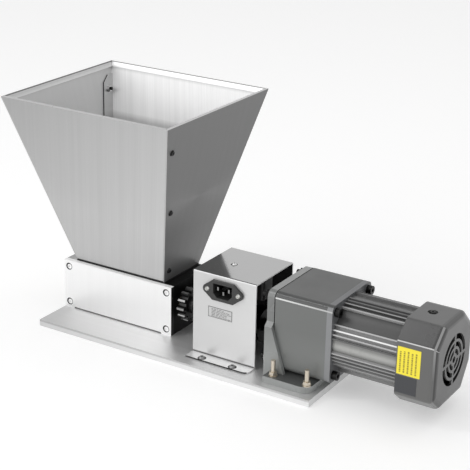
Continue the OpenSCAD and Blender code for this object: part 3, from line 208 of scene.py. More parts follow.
class Paint:
    """The nodes of one material. Object coordinates are the part's own frame."""

    def __init__(self, name):
        self.name = name
        self.material = bpy.data.materials.new(name)
        self.material.use_nodes = True
        self.tree = self.material.node_tree
        self.shader = self.tree.nodes["Principled BSDF"]
        self.place = self.tree.nodes.new("ShaderNodeTexCoord").outputs["Object"]

    def set(self, socket, value):
        """Links value to the socket if it is an output, and otherwise stores it there."""
        if isinstance(value, bpy.types.NodeSocket):
            self.tree.links.new(value, socket)
        else:
            socket.default_value = value

    def node(self, kind, **inputs):
        """A new node. inputs are values or outputs, by the input's name with _ for a space."""
        made = self.tree.nodes.new(kind)
        for key, value in inputs.items():
            self.set(made.inputs[key.replace("_", " ")], value)
        return made

    def finish(self, **inputs):
        """Sets inputs of the shader, named as in node, and enters the material in FINISHES."""
        for key, value in inputs.items():
            self.set(self.shader.inputs[key.replace("_", " ")], value)
        FINISHES[self.name] = self.material

    def stretched(self, scale, lean=0.0):
        """The part's coordinates, leant about Y and then scaled apart along X, Y and Z."""
        leant = self.node("ShaderNodeMapping", Vector=self.place, Rotation=(0, lean, 0)).outputs[0]
        return self.node("ShaderNodeMapping", Vector=leant, Scale=scale).outputs[0]

    def noise(self, scale, detail, where=None, roughness=0.5):
        return self.node("ShaderNodeTexNoise", Vector=where or self.place, Scale=scale, Detail=detail,
                         Roughness=roughness).outputs["Fac"]

    def ranged(self, value, low, high, start=0.0, end=1.0):
        """value, moved from start..end to low..high."""
        return self.node("ShaderNodeMapRange", Value=value, From_Min=start, From_Max=end, To_Min=low,
                         To_Max=high).outputs[0]

    def added(self, first, second):
        total = self.node("ShaderNodeMath")
        total.operation = "ADD"
        self.set(total.inputs[0], first)
        self.set(total.inputs[1], second)
        return total.outputs[0]

    def scaled(self, colour, factor):
        product = self.node("ShaderNodeVectorMath")
        product.operation = "SCALE"
        self.set(product.inputs[0], colour)
        self.set(product.inputs["Scale"], factor)
        return product.outputs[0]

    def shades(self, value, colour, spread):
        """colour, darker and lighter by spread where value is 0 and 1."""
        return self.scaled(colour, self.ranged(value, 1 - spread, 1 + spread))

    def along(self, direction, low, high, start, end):
        """low to high along a direction of the part, between two places in metres."""
        reach = self.node("ShaderNodeVectorMath")
        reach.operation = "DOT_PRODUCT"
        self.set(reach.inputs[0], self.place)
        self.set(reach.inputs[1], direction)
        return self.ranged(reach.outputs["Value"], low, high, start, end)

    def ramped(self, colour, ramps):
        """colour, times each of ramps."""
        for ramp in ramps:
            colour = self.scaled(colour, self.along(*ramp))
        return colour

    def bump(self, height, strength, distance=FINE_RELIEF):
        return self.node("ShaderNodeBump", Height=height, Strength=strength, Distance=distance).outputs[0]


# Brush lines: waves a metre along X, Y and Z for each way that they run, then the scales of the lines and of
# wider bands, and the lean of the lines on the hopper's front and back panels
BRUSH_ALONG = {"x": (4, 900, 900), "up_the_front": (900, 4, 4), "up_the_side": (4, 900, 4)}
BRUSH_LINES = 1.0
BRUSH_BANDS = 0.12
BRUSH_LEAN = math.radians(14)
BRUSH_ANISOTROPY = 0.6
BRUSH_RELIEF = 0.2 * MM


def brushed(name, colour, along, roughness=0.32, streaks=0.05, ramps=(), metallic=1.0, lean=0.0):
    """Metal with fine brush lines along one way, leaning sideways by lean."""
    paint = Paint(name)
    where = paint.stretched(BRUSH_ALONG[along], lean)
    fine = paint.noise(BRUSH_LINES, 4.0, where, 0.65)
    wide = paint.noise(BRUSH_BANDS, 2.0, where)
    patch = paint.noise(BRUSH_PATCHES, 2.0)
    lines = paint.added(paint.ranged(fine, -0.5, 0.5, 0.25, 0.75), paint.ranged(wide, 0.2, 0.8, 0.3, 0.7))
    rough = paint.added(paint.ranged(lines, roughness - 0.05, roughness + 0.05),
                        paint.ranged(patch, -0.02, 0.02))
    paint.finish(Base_Color=paint.ramped(paint.shades(lines, colour, streaks), ramps), Metallic=metallic,
                 Roughness=rough, Anisotropic=BRUSH_ANISOTROPY,
                 Normal=paint.bump(fine, 2.5 * streaks, BRUSH_RELIEF))


# Rolling lines of bright sheet, as waves a metre along X, Y and Z
ROLLING_LINES = (700, 6, 6)


def polished(name, colour, roughness=0.07):
    """Bright sheet metal with faint rolling lines and handling marks."""
    paint = Paint(name)
    smudges = paint.noise(SMUDGES, 4.0)
    lines = paint.noise(1.0, 3.0, paint.stretched(ROLLING_LINES))
    paint.finish(Base_Color=paint.shades(smudges, colour, 0.03), Metallic=1.0,
                 Roughness=paint.ranged(smudges, roughness, roughness + 0.08, 0.3, 0.8),
                 Normal=paint.bump(lines, 0.02))


def plain_sheet(name, colour, roughness, metallic, ramps):
    """Even satin sheet metal without brush lines."""
    paint = Paint(name)
    smudges = paint.noise(SMUDGES, 4.0)
    paint.finish(Base_Color=paint.ramped(paint.shades(smudges, colour, 0.015), ramps), Metallic=metallic,
                 Roughness=paint.ranged(smudges, roughness, roughness + 0.06, 0.3, 0.8))


def machined(name, colour, roughness=0.3, spread=0.12):
    """Turned or milled metal with small uneven marks."""
    paint = Paint(name)
    marks = paint.noise(TOOL_MARKS, 4.0)
    tone = paint.noise(METAL_TONES, 2.0)
    paint.finish(Base_Color=paint.shades(tone, colour, spread), Metallic=1.0,
                 Roughness=paint.ranged(marks, roughness - 0.08, roughness + 0.12),
                 Normal=paint.bump(marks, 0.15))


def painted(name, colour, roughness=0.42, texture=ORANGE_PEEL, depth=0.25, coat=0.0, ramps=()):
    """Sprayed enamel or print: a fine orange peel, with tone and gloss a little uneven."""
    paint = Paint(name)
    peel = paint.noise(texture, 2.0)
    tone = paint.noise(PAINT_TONES, 3.0)
    paint.finish(Base_Color=paint.ramped(paint.shades(tone, colour, 0.05), ramps),
                 Roughness=paint.ranged(tone, roughness - 0.05, roughness + 0.07, 0.3, 0.7),
                 Coat_Weight=coat, Coat_Roughness=COAT_ROUGHNESS, Normal=paint.bump(peel, depth))


def moulded(name, colour, roughness=0.5):
    """Moulded plastic or rubber with a fine grain."""
    paint = Paint(name)
    grain = paint.noise(PLASTIC_GRAIN, 2.0)
    tone = paint.noise(PLASTIC_TONES, 2.0)
    paint.finish(Base_Color=paint.shades(tone, colour, 0.08),
                 Roughness=paint.ranged(grain, roughness - 0.06, roughness + 0.08),
                 Normal=paint.bump(grain, 0.2))


def grey(tone):
    """One tone as a colour."""
    return (tone,) * 3


# Places on the part that the finishes and the pieces go by
AXIS = (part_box("drive_roller")[0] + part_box("drive_roller")[1]) / 2
IDLER = (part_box("idler_roller")[0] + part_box("idler_roller")[1]) / 2
MOTOR = (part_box("rotor_core")[0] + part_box("rotor_core")[1]) / 2
MOTOR_RADIUS = (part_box("motor_housing")[1].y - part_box("motor_housing")[0].y) / 2
COVER = (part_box("drive_cover")[0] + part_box("drive_cover")[1]) / 2
HOPPER_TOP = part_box("hopper_rear_panel")[1].z
HOPPER_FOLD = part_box("front_side_plate")[1].z + 2.5 * MM
HOPPER_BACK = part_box("hopper_rear_panel")[1].y
HOPPER_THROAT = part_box("hopper_rear_panel")[0].y
HEM_DEPTH = 8 * MM
FOOT_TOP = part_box("foot_washers")[0].z
GROOVE_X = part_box("gearbox_housing")[0].x + 8.3 * MM
GEAR_TIP = (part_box("drive_gear")[1].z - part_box("drive_gear")[0].z) / 2 - 0.6 * MM


def below_rim(depth):
    """The height that lies depth millimetres under the hopper's rim."""
    return HOPPER_TOP - depth * MM


# The finishes of the part, from the base plate to the motor's label
# Painted light: the base plate's top darker at its left end and lighter to the right, a tone ramp along X.
brushed("base_aluminium", grey(0.5), "x", 0.42, 0.04, metallic=0.6,
        ramps=[(RIGHT, 1.12, 1.46, -0.17, -0.04)])
# Painted shade: the base plate's front edge darker along its top and towards its left end.
brushed("base_edge", grey(0.93), "x", 0.4, 0.02,
        ramps=[(UP, 1, 0.72, 0.0052, 0.0062),
               (RIGHT, 0.7, 0.9, -0.16, 0.04)])
# Painted light: a pale non-metal copy of the aluminium for the front plate's top face, kept white in the
# hopper's shade.
brushed("lit_plate_top", grey(1.0), "x", 0.4, 0.02, metallic=0.0)
brushed("brushed_aluminium", grey(0.93), "up_the_front", 0.4, 0.02)
brushed("end_aluminium", grey(0.38), "up_the_side", 0.4, 0.05)
machined("dark_aluminium", grey(0.012), 0.5)
# Painted shade: dark aluminium for the front plate's right end face and the edges of the cover's feet.
machined("end_face_shade", grey(0.045), 0.45)
machined("zinc_steel", (0.6, 0.6, 0.58), 0.28)
machined("screw_steel", grey(0.6), 0.3)
machined("bright_screw", grey(0.92), 0.4, 0.05)
machined("warm_zinc", (0.62, 0.56, 0.47), 0.3)
machined("ground_steel", grey(0.5), 0.22)
machined("gear_steel", grey(0.05), 0.4)
# Painted highlight: lighter steel on the tips of the gear teeth.
machined("gear_tip_highlight", grey(0.3), 0.32)
machined("bronze", (0.66, 0.5, 0.26), 0.4)
machined("bronze_shaded", (0.16, 0.13, 0.09), 0.5)
# The hopper's faces are lit and shaded copies of one steel, each at its own tone, with painted light and
# shade.
brushed("hopper_steel", grey(0.5), "up_the_front")
# Painted light and shade on the hopper's front: lighter towards the lower right, a dark line along its rim
# and black at its foot as the shadow of the gap over the mill.
brushed("hopper_front_steel", grey(0.475), "up_the_front", 0.42, metallic=0.45, lean=-BRUSH_LEAN,
        ramps=[((0.6, 0, -0.8), 0.8, 1.22, -0.34, -0.12),
               (UP, 1, 0.7, below_rim(1.2), below_rim(0.6)),
               (UP, 0, 1, 0.0708, 0.0716)])
brushed("hopper_side_steel", grey(0.5), "up_the_side")
# Painted shade: a darker copy of the steel for the right panel's outside, lifted again towards its foot.
brushed("hopper_shaded_steel", grey(0.19), "up_the_side", 0.42, 0.02, metallic=0.45,
        ramps=[(UP, 1.25, 1, 0.08, 0.13)])
# Painted shade on the back panel's inside: darker along its top under the hem and deep down in the hopper.
brushed("hopper_inner_steel", grey(0.88), "up_the_front", 0.42, 0.07, metallic=0.5, lean=BRUSH_LEAN,
        ramps=[(UP, 1, 0.86, below_rim(11), below_rim(8)),
               (UP, 0.62, 1, below_rim(64), below_rim(56.5))])
# Painted light and shade on the left panel's inside: the hem band lighter than the panel below, brightest at
# its lower edge, and a dark line along the rim.
brushed("hopper_inner_side", grey(0.61), "up_the_side", 0.42, 0.03, metallic=0.5,
        ramps=[(UP, 0.75, 1, below_rim(7.8), below_rim(7.4)),
               (UP, 1.38, 1.1, below_rim(7), below_rim(3)),
               (UP, 1, 0.28, below_rim(1.7), below_rim(1.3))])
# Painted light: a lit copy of the steel for the back panel's hem, darker at its lower part, with a painted
# dark line along the rim.
brushed("lit_hem", grey(0.95), "up_the_front", 0.4, 0.02,
        ramps=[(UP, 0.84, 1, below_rim(5.4), below_rim(4.4)),
               (UP, 1, 0.3, below_rim(1.5), below_rim(1.1))])
# Painted shade: black for the skirts under the hopper, the drive cover's inside, the gearbox's groove and
# the rings round screw heads.
moulded("painted_shade_black", grey(0.003), 0.8)
polished("polished_steel", grey(0.42))
# Painted light and shade on the cover's front: lighter towards the lower right and dark along the bend at
# its foot.
plain_sheet("cover_front_steel", grey(0.66), 0.32, 0.5,
            ramps=[((0.7, 0, -0.7), 0.93, 1.1, -0.05, 0.05),
                   (UP, 0.1, 1, 0.0104, 0.0118)])
# Painted light: a pale copy of the cover's steel for the tops of its feet.
brushed("lit_cover_foot_steel", grey(0.92), "x", 0.4, 0.02, metallic=0.4)
# Painted highlight on the rounded edges of the drive cover and the hopper's outer panels.
polished("edge_highlight_steel", grey(0.95), 0.15)
machined("pin_steel", grey(0.25), 0.35)
moulded("inlet_plastic", grey(0.03), 0.4)
painted("pale_label", grey(0.6), 0.5)
painted("faded_ink", grey(0.12), 0.5)
painted("brown_ink", (0.36, 0.29, 0.03), 0.5)
painted("panel_grey", (0.05, 0.052, 0.058), 0.4)
moulded("spider_rubber", (0.55, 0.08, 0.06), 0.6)
# Painted light and shade: the bracket lighter low down and darker towards its top.
painted("bracket_grey", (0.2, 0.207, 0.203), 0.26, 700.0, 0.2, coat=0.7,
        ramps=[(UP, 1.5, 0.85, 0.03, 0.075)])
# Painted shade: a darker copy of the bracket's paint for the top of its foot.
painted("bracket_foot_shade", (0.085, 0.088, 0.087), 0.36, coat=0.3)
# Painted highlight on the bracket's rounded edges.
painted("bracket_edge_highlight", (0.7, 0.71, 0.7), 0.25, 700.0, 0.15, coat=0.6)
# Painted shade: the gearbox darker towards its top.
painted("gearbox_grey", (0.178, 0.185, 0.18), 0.36, coat=0.3, ramps=[(UP, 1, 0.84, 0.045, 0.07)])
# Painted highlight on the rounded edges of the gearbox and the motor's front plate.
painted("gearbox_edge_highlight", (0.25, 0.255, 0.25), 0.25, coat=0.4)
# Painted shade on the gearbox's rounded top-front corner, its crest and its top, and a painted highlight
# line along the corner.
painted("gearbox_round_shade", (0.045, 0.047, 0.046), 0.25, coat=0.4)
painted("gearbox_shine", (0.75, 0.76, 0.75), 0.25, coat=0.4, ramps=[(RIGHT, 1, 0.7, 0.13, 0.18)])
painted("gearbox_crest_shade", (0.035, 0.037, 0.036), 0.25, coat=0.4)
painted("gearbox_top_shade", (0.033, 0.035, 0.034), 0.36, coat=0.3)
machined("black_steel", grey(0.02), 0.3)
painted("motor_grey", grey(0.085), 0.26, coat=0.6)
# Painted highlight: a pale band on the motor's smooth front land, brightest across its middle.
painted("motor_land_highlight", (0.42, 0.422, 0.408), 0.3, coat=0.5,
        ramps=[(UP, 1, 0.6, 0.0632, 0.0668),
               (UP, 0.38, 1, 0.0555, 0.0612)])
# Painted light: the floors between the motor's fins at the top and the front, lifted out of their shade.
painted("lit_motor_groove", grey(0.15), 0.3)
painted("lit_motor_front_groove", grey(0.23), 0.3)
painted("motor_shade", grey(0.055), 0.4, coat=0.2)
# Painted highlight on the motor's rounded edges and on some of its fins.
painted("motor_edge_glint", grey(0.3), 0.2, coat=0.4)
painted("motor_glint", grey(0.42), 0.2, coat=0.4)
painted("motor_shine", grey(0.9), 0.2, coat=0.4)
painted("plate_grey", (0.13, 0.133, 0.138), 0.35)
# Painted light: a lighter copy of the front plate's paint for its front face.
painted("lit_plate_front", (0.25, 0.255, 0.262), 0.35)
machined("copper_winding", (0.5, 0.2, 0.08), 0.4)
moulded("fan_plastic", grey(0.02))
painted("fan_cover_grey", (0.115, 0.115, 0.113), 0.34, coat=0.4)
# Painted shade on the fan cover's upper chamfer, top and end; painted highlights on its rounded edges and
# rim, fainter low down, and on its front crease.
painted("fan_cover_chamfer_shade", grey(0.036), 0.3, coat=0.5)
painted("fan_cover_top_shade", grey(0.045), 0.34, coat=0.4)
painted("fan_cover_end_shade", grey(0.032), 0.34, coat=0.4)
painted("fan_cover_edge_highlight", grey(0.3), 0.22, coat=0.5, ramps=[(UP, 0.38, 1, 0.055, 0.092)])
painted("fan_cover_shine", grey(0.6), 0.22, coat=0.5)
# Painted light: pale paint on the drive cover's sheet ends at its right end, which show as a lit rim.
painted("cover_end", grey(0.85), 0.3)
# Painted light: a pale lit copy of the through nuts' finish for those below the shaft.
painted("lit_nut", grey(0.95), 0.3)
painted("yellow_label", (1.0, 0.85, 0.05), 0.4)

# Whole nodes whose finish isn't the one of their slot in the record
ASKED_FINISH = {
    "foot_bolts": "warm_zinc", "foot_nuts": "warm_zinc", "foot_washers": "warm_zinc",
    "hopper_left_panel": "hopper_side_steel", "hopper_right_panel": "hopper_side_steel",
    "left_end_plate": "end_aluminium", "side_plate_screws": "bright_screw",
    "hopper_corner_screws": "black_steel", "hopper_corner_nuts": "screw_steel",
    "mill_coupling_hub": "black_steel", "motor_coupling_hub": "black_steel",
    "output_shaft": "black_steel", "through_nuts": "black_steel", "cover_screws": "pin_steel",
    "motor_front_plate": "plate_grey", "fan_cover": "fan_cover_grey",
    "fan_cover_screws": "black_steel", "inlet_pins": "black_steel", "capacitor_screw": "screw_steel",
}

# Limits that the tests of faces go by, in metres and degrees
COVER_FEET_END = 20 * MM
COVER_FOOT_EDGE_TOP = 9.6 * MM
FLANGE_STEP = 4 * MM
GROOVE_DEPTH = 0.4 * MM
FIN_BAND = 1 * MM
FIN_HALF_ANGLE = 1.6
TOP_GROOVES = MOTOR.z + 0.87 * MOTOR_RADIUS
FRONT_GROOVES_Y = MOTOR.y - 0.5 * MOTOR_RADIUS
FRONT_GROOVES_Z = MOTOR.z + 0.5 * MOTOR_RADIUS
UPPER_LAND = (33, 57)
LAND_COSINE = math.cos(math.radians(10.5))
FRONT_CORNERS_Y = MOTOR.y - 30 * MM
FAN_GRILLE_RADIUS = 32 * MM


def from_axis(point, axis):
    """How far a point is from an axis that runs along X."""
    return math.hypot(point.y - axis.y, point.z - axis.z)


def motor_turn(point):
    """Where a point is round the motor's axis, in degrees up from the motor's front."""
    return math.degrees(math.atan2(point.z - MOTOR.z, MOTOR.y - point.y))


# Faces of one node with a finish of their own. A test takes a face's centre and its normal.
def facing(direction, share=0.7):
    """Faces that look along a direction of the part."""
    return lambda centre, normal: normal.dot(direction) > share


def turned_up(low, high):
    """Faces of the gearbox's, front plate's or fan cover's front that turn up by low to high degrees."""
    def test(centre, normal):
        turn = math.degrees(math.atan2(normal.z, -normal.y))
        return normal.y < 0 and centre.y < FRONT_CORNERS_Y and low < turn < high
    return test


def faces_front_and_up(centre, normal):
    return normal.y < -0.3 and normal.z > 0.3


def in_seam(centre, normal):
    """The upright skirt of a hopper panel."""
    return abs(normal.z) < 0.01 and centre.z < HOPPER_FOLD


def in_hem(centre, normal):
    return centre.z > HOPPER_TOP - HEM_DEPTH


def at_flange_edge(centre, normal):
    """The corner flanges of the hopper's back panel, which stand in front of its slope."""
    slope = (HOPPER_BACK - HOPPER_THROAT) / (HOPPER_TOP - HOPPER_FOLD)
    back = HOPPER_THROAT + slope * (centre.z - HOPPER_FOLD)
    return centre.z > HOPPER_FOLD and abs(normal.x) < 0.6 and centre.y < back - FLANGE_STEP


def inside_cover(centre, normal):
    to_middle = normal.y * (COVER.y - centre.y) > 0.6 * abs(COVER.y - centre.y)
    return centre.z > COVER_FEET_END and (normal.z < -0.6 or to_middle)


def on_cover_front(centre, normal):
    return normal.y < -0.6 and centre.y < COVER.y and centre.z > COVER_FEET_END


def on_cover_foot(centre, normal):
    return normal.z > 0.7 and centre.z < COVER_FEET_END


def at_cover_foot_edge(centre, normal):
    return abs(normal.z) < 0.1 and centre.z < COVER_FOOT_EDGE_TOP and abs(normal.x) < 0.9


def on_bracket_foot(centre, normal):
    return normal.z > 0.9 and centre.z < FOOT_TOP + 0.1 * MM


def at_gear_tip(axis):
    return lambda centre, normal: from_axis(centre, axis) > GEAR_TIP


def below_axis(centre, normal):
    return centre.z < AXIS.z


def in_gearbox_groove(centre, normal):
    return centre.x < GROOVE_X and abs(normal.x) < 0.9


def in_groove(centre, normal):
    """The floors between the motor's fins."""
    return abs(normal.x) < 0.5 and from_axis(centre, MOTOR) < MOTOR_RADIUS - GROOVE_DEPTH


def in_top_groove(centre, normal):
    return in_groove(centre, normal) and centre.z > TOP_GROOVES


def in_front_groove(centre, normal):
    return in_groove(centre, normal) and centre.y < FRONT_GROOVES_Y and centre.z < FRONT_GROOVES_Z


def on_upper_land(centre, normal):
    return abs(normal.x) < 0.5 and UPPER_LAND[0] < motor_turn(centre) < UPPER_LAND[1]


def on_front_land(centre, normal):
    return normal.y < -LAND_COSINE and centre.y < MOTOR.y


def on_fins(turns):
    """The outer faces of the fins at turns, in degrees up from the motor's front."""
    def test(centre, normal):
        outer = abs(normal.x) < 0.5 and from_axis(centre, MOTOR) > MOTOR_RADIUS - FIN_BAND
        return outer and any(abs(motor_turn(centre) - turn) < FIN_HALF_ANGLE for turn in turns)
    return test


def on_fan_rim(centre, normal):
    """The rounded edge of the fan cover's end, on its front."""
    turn = math.degrees(math.atan2(normal.x, math.hypot(normal.y, normal.z)))
    return 20 < turn < 50 and normal.y < -0.2 and from_axis(centre, MOTOR) > FAN_GRILLE_RADIUS


# Node, finish and test. Where two rows of a node hold for a face, the later one counts.
FACE_FINISHES = [
    # Painted light and shade: the base's front edge, the front plate's lit top and its shaded right end
    # face.
    ("base_plate", "base_edge", facing(FRONT)),
    ("front_side_plate", "lit_plate_top", facing(UP)),
    ("front_side_plate", "end_face_shade", facing(RIGHT)),
    # Painted highlight on the tips of the gear teeth.
    ("drive_gear", "gear_tip_highlight", at_gear_tip(AXIS)),
    ("idler_gear", "gear_tip_highlight", at_gear_tip(IDLER)),
    # Lit and shaded copies of the hopper's steel on its faces, and a lit copy on the back panel's hem.
    ("hopper_front_panel", "hopper_front_steel", facing(FRONT, 0.5)),
    ("hopper_right_panel", "hopper_shaded_steel", facing(RIGHT, 0.5)),
    ("hopper_left_panel", "hopper_inner_side", facing(RIGHT, 0.5)),
    ("hopper_rear_panel", "hopper_inner_steel", facing(FRONT, 0.5)),
    ("hopper_rear_panel", "lit_hem", in_hem),
    # Painted shade: dark steel on the back panel's corner flanges, as a dark outline.
    ("hopper_rear_panel", "gear_steel", at_flange_edge),
    # Painted shadow: the skirts under the hopper's panels black, as the gap over the mill.
    ("hopper_front_panel", "painted_shade_black", in_seam),
    ("hopper_right_panel", "painted_shade_black", in_seam),
    ("hopper_left_panel", "painted_shade_black", in_seam),
    ("hopper_rear_panel", "painted_shade_black", in_seam),
    # Painted light and shade on the drive cover: tone ramps on its front, lit tops and shaded edges on its
    # feet, a black inside and pale sheet ends at its right end.
    ("drive_cover", "cover_front_steel", on_cover_front),
    ("drive_cover", "lit_cover_foot_steel", on_cover_foot),
    ("drive_cover", "end_face_shade", at_cover_foot_edge),
    ("drive_cover", "painted_shade_black", inside_cover),
    ("drive_cover", "cover_end", facing(RIGHT)),
    # Painted shade on the gearbox's top, crest, rounded top-front corner and groove, and a painted highlight
    # line along the corner.
    ("gearbox_housing", "gearbox_top_shade", facing(UP)),
    ("gearbox_housing", "gearbox_crest_shade", turned_up(50, 85)),
    ("gearbox_housing", "gearbox_round_shade", turned_up(3, 50)),
    ("gearbox_housing", "gearbox_shine", turned_up(3, 12)),
    ("gearbox_housing", "painted_shade_black", in_gearbox_groove),
    # Painted shade on the top of the bracket's foot.
    ("mounting_bracket", "bracket_foot_shade", on_bracket_foot),
    # Painted shade and highlight on the inlet's pins: black as in the socket's shade, with lighter front
    # ends.
    ("inlet_pins", "pin_steel", facing(FRONT)),
    ("right_gap_block", "bronze_shaded", facing(RIGHT)),
    ("drive_roller_bushes", "bronze_shaded", facing(RIGHT)),
    # Painted light and shade on the motor's front plate: a lit front face, a shaded crest and a painted
    # highlight line.
    ("motor_front_plate", "lit_plate_front", facing(FRONT)),
    ("motor_front_plate", "gearbox_crest_shade", turned_up(50, 85)),
    ("motor_front_plate", "gearbox_shine", turned_up(3, 12)),
    # Painted light and shade on the motor: lit floors between the fins, a shaded upper land, a highlight
    # band on the front land and painted glints on single fins.
    ("motor_housing", "lit_motor_groove", in_top_groove),
    ("motor_housing", "lit_motor_front_groove", in_front_groove),
    ("motor_housing", "motor_shade", on_upper_land),
    ("motor_housing", "motor_land_highlight", on_front_land),
    ("motor_housing", "motor_edge_glint", on_fins((-31, -23.5, -17, 66.5))),
    ("motor_housing", "motor_glint", on_fins((-11, 17, 31, 59))),
    ("motor_housing", "motor_shine", on_fins((23.5,))),
    # Painted light and shade on the fan cover: shaded top, end and upper chamfer, and painted highlights on
    # its front crease and the front of its rim.
    ("fan_cover", "fan_cover_top_shade", facing(UP)),
    ("fan_cover", "fan_cover_end_shade", facing(RIGHT)),
    ("fan_cover", "fan_cover_chamfer_shade", faces_front_and_up),
    ("fan_cover", "fan_cover_shine", turned_up(10, 30)),
    ("fan_cover", "fan_cover_edge_highlight", on_fan_rim),
    # Painted light: a pale lit copy on the through nuts below the shaft.
    ("through_nuts", "lit_nut", below_axis),
]


def finish_nodes():
    """Gives every CAD node its finish, from the record's slot unless another is asked for."""
    for name, node in NODES.items():
        node.data.materials.clear()
        node.data.materials.append(FINISHES[ASKED_FINISH.get(name, SLOTS[name])])
    for name, finish, test in FACE_FINISHES:
        mesh = NODES[name].data
        mesh.materials.append(FINISHES[finish])
        for polygon in mesh.polygons:
            if test(polygon.center, polygon.normal):
                polygon.material_index = len(mesh.materials) - 1


# Edges: their widths in millimetres, and the lighter finishes painted on some of them as painted highlights
EDGE_WIDTHS = {
    "base_plate": 0.4, "front_side_plate": 0.3, "rear_side_plate": 0.3, "left_end_plate": 0.3,
    "right_end_plate": 0.3, "drive_cover": 0.25, "power_inlet": 0.35, "mounting_bracket": 0.7,
    "gearbox_housing": 1.2, "motor_front_plate": 0.8, "motor_housing": 0.35, "fan_cover": 0.9,
}
EDGE_WIDTH = 0.2
EDGE_SEGMENTS = 2
SHARP_DEGREES = 32
FLAT_DEGREES = 0.5
EDGE_FINISHES = {
    "drive_cover": "edge_highlight_steel", "hopper_front_panel": "edge_highlight_steel", "hopper_right_panel": "edge_highlight_steel",
    "mounting_bracket": "bracket_edge_highlight", "gearbox_housing": "gearbox_edge_highlight",
    "motor_front_plate": "gearbox_edge_highlight", "motor_housing": "motor_edge_glint", "fan_cover": "fan_cover_edge_highlight",
}


def soften(name):
    """Merges a node's flat faces, rounds its sharp edges and shades it smooth."""
    node = NODES[name]
    merge = node.modifiers.new("merge_flat_faces", "DECIMATE")
    merge.decimate_type = "DISSOLVE"
    merge.angle_limit = math.radians(FLAT_DEGREES)
    bevel = node.modifiers.new("round_edges", "BEVEL")
    bevel.width = EDGE_WIDTHS.get(name, EDGE_WIDTH) * MM
    bevel.segments = EDGE_SEGMENTS
    bevel.limit_method = "ANGLE"
    bevel.angle_limit = math.radians(SHARP_DEGREES)
    bevel.harden_normals = True
    # Painted highlight: the rounded edges of these nodes take the lighter edge finish.
    if name in EDGE_FINISHES:
        node.data.materials.append(FINISHES[EDGE_FINISHES[name]])
        bevel.material = len(node.data.materials) - 1
    level = node.modifiers.new("keep_flats_flat", "WEIGHTED_NORMAL")
    level.keep_sharp = True
    for polygon in node.data.polygons:
        polygon.use_smooth = True


# Pieces that ride on a node's body, each with a finish of its own
def add_piece(made, name, finish, node, smooth_below=None):
    """Turns a bmesh into a piece. Its edges under smooth_below degrees are shaded smooth."""
    bmesh.ops.recalc_face_normals(made, faces=made.faces)
    mesh = bpy.data.meshes.new(name)
    made.to_mesh(mesh)
    made.free()
    if smooth_below:
        for polygon in mesh.polygons:
            polygon.use_smooth = True
        mesh.set_sharp_from_angle(angle=math.radians(smooth_below))
    mesh.materials.append(FINISHES[finish])
    piece = bpy.data.objects.new(name, mesh)
    bpy.context.scene.collection.objects.link(piece)
    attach(piece, body_of(NODES[node])[0])
    return piece


def join_rings(made, rings, closed):
    """Skins rings of as many vertices each with quads; closed also joins the last ring to the first."""
    pairs = list(zip(rings, rings[1:])) + ([(rings[-1], rings[0])] if closed else [])
    for lower, upper in pairs:
        for k in range(len(lower)):
            after = (k + 1) % len(lower)
            made.faces.new((lower[k], lower[after], upper[after], upper[k]))


def corner_places(low, high, axes, insets):
    """Pairs of coordinates along two axes of a box, inset from its four corners."""
    firsts, seconds = [(low[axis] + inset, high[axis] - inset) for axis, inset in zip(axes, insets)]
    return [(first, second) for first in firsts for second in seconds]


# Nuts with rounded chamfers, in place of the plain hexagons
COS_30 = math.cos(math.radians(30))
FOOT_NUT_CORNER_R = 4.62 * MM
NUT_STEPS = 6
NUT_CHAMFER = math.tan(math.radians(30))
NUT_FLAT_SHARE = 0.96
NUT_LEAD = 0.4 * MM
NUT_SMOOTH_BELOW = 40
M5_RADIUS = 2.5 * MM


def add_nut(made, place, corner_r, bore_r, height):
    """A hexagon nut that stands on z = 0 of place, with a corner on place's X."""
    apothem = corner_r * COS_30
    flat_r = apothem * NUT_FLAT_SHARE
    count = 6 * NUT_STEPS
    rings = [[] for _ in range(8)]
    for k in range(count):
        angle = 2 * math.pi * k / count
        from_middle = (angle % math.radians(60)) - math.radians(30)
        edge_r = apothem / math.cos(from_middle)
        drop = (edge_r - flat_r) * NUT_CHAMFER
        section = [(bore_r, NUT_LEAD), (bore_r + NUT_LEAD, 0), (flat_r, 0), (edge_r, drop),
                   (edge_r, height - drop), (flat_r, height), (bore_r + NUT_LEAD, height),
                   (bore_r, height - NUT_LEAD)]
        for ring, (radius, z) in zip(rings, section):
            point = Vector((radius * math.cos(angle), radius * math.sin(angle), z))
            ring.append(made.verts.new(place @ point))
    join_rings(made, rings, True)


def make_foot_nuts():
    low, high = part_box("foot_nuts")
    insets = (FOOT_NUT_CORNER_R, FOOT_NUT_CORNER_R * COS_30)
    made = bmesh.new()
    for x, y in corner_places(low, high, (X, Y), insets):
        add_nut(made, Matrix.Translation((x, y, low.z)), FOOT_NUT_CORNER_R, M5_RADIUS, high.z - low.z)
    piece = add_piece(made, "foot_nuts_chamfered", "warm_zinc", "foot_nuts", NUT_SMOOTH_BELOW)
    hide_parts("foot_nuts")


# Threads on the bolt ends that stand free
THREAD_SIDES = 24
THREAD_STEPS = 6
THREAD_CREST = 0.1 * MM
THREAD_ROOT = 0.2 * MM
THREAD_SMOOTH_BELOW = 60
TIP_CHAMFER = 0.4 * MM
HEAD_RADIUS = 5 * MM
M5_PITCH = 0.8 * MM
M6_RADIUS = 3 * MM
M6_PITCH = 1 * MM
ALONG_X = Matrix.Rotation(math.radians(90), 4, "Y")


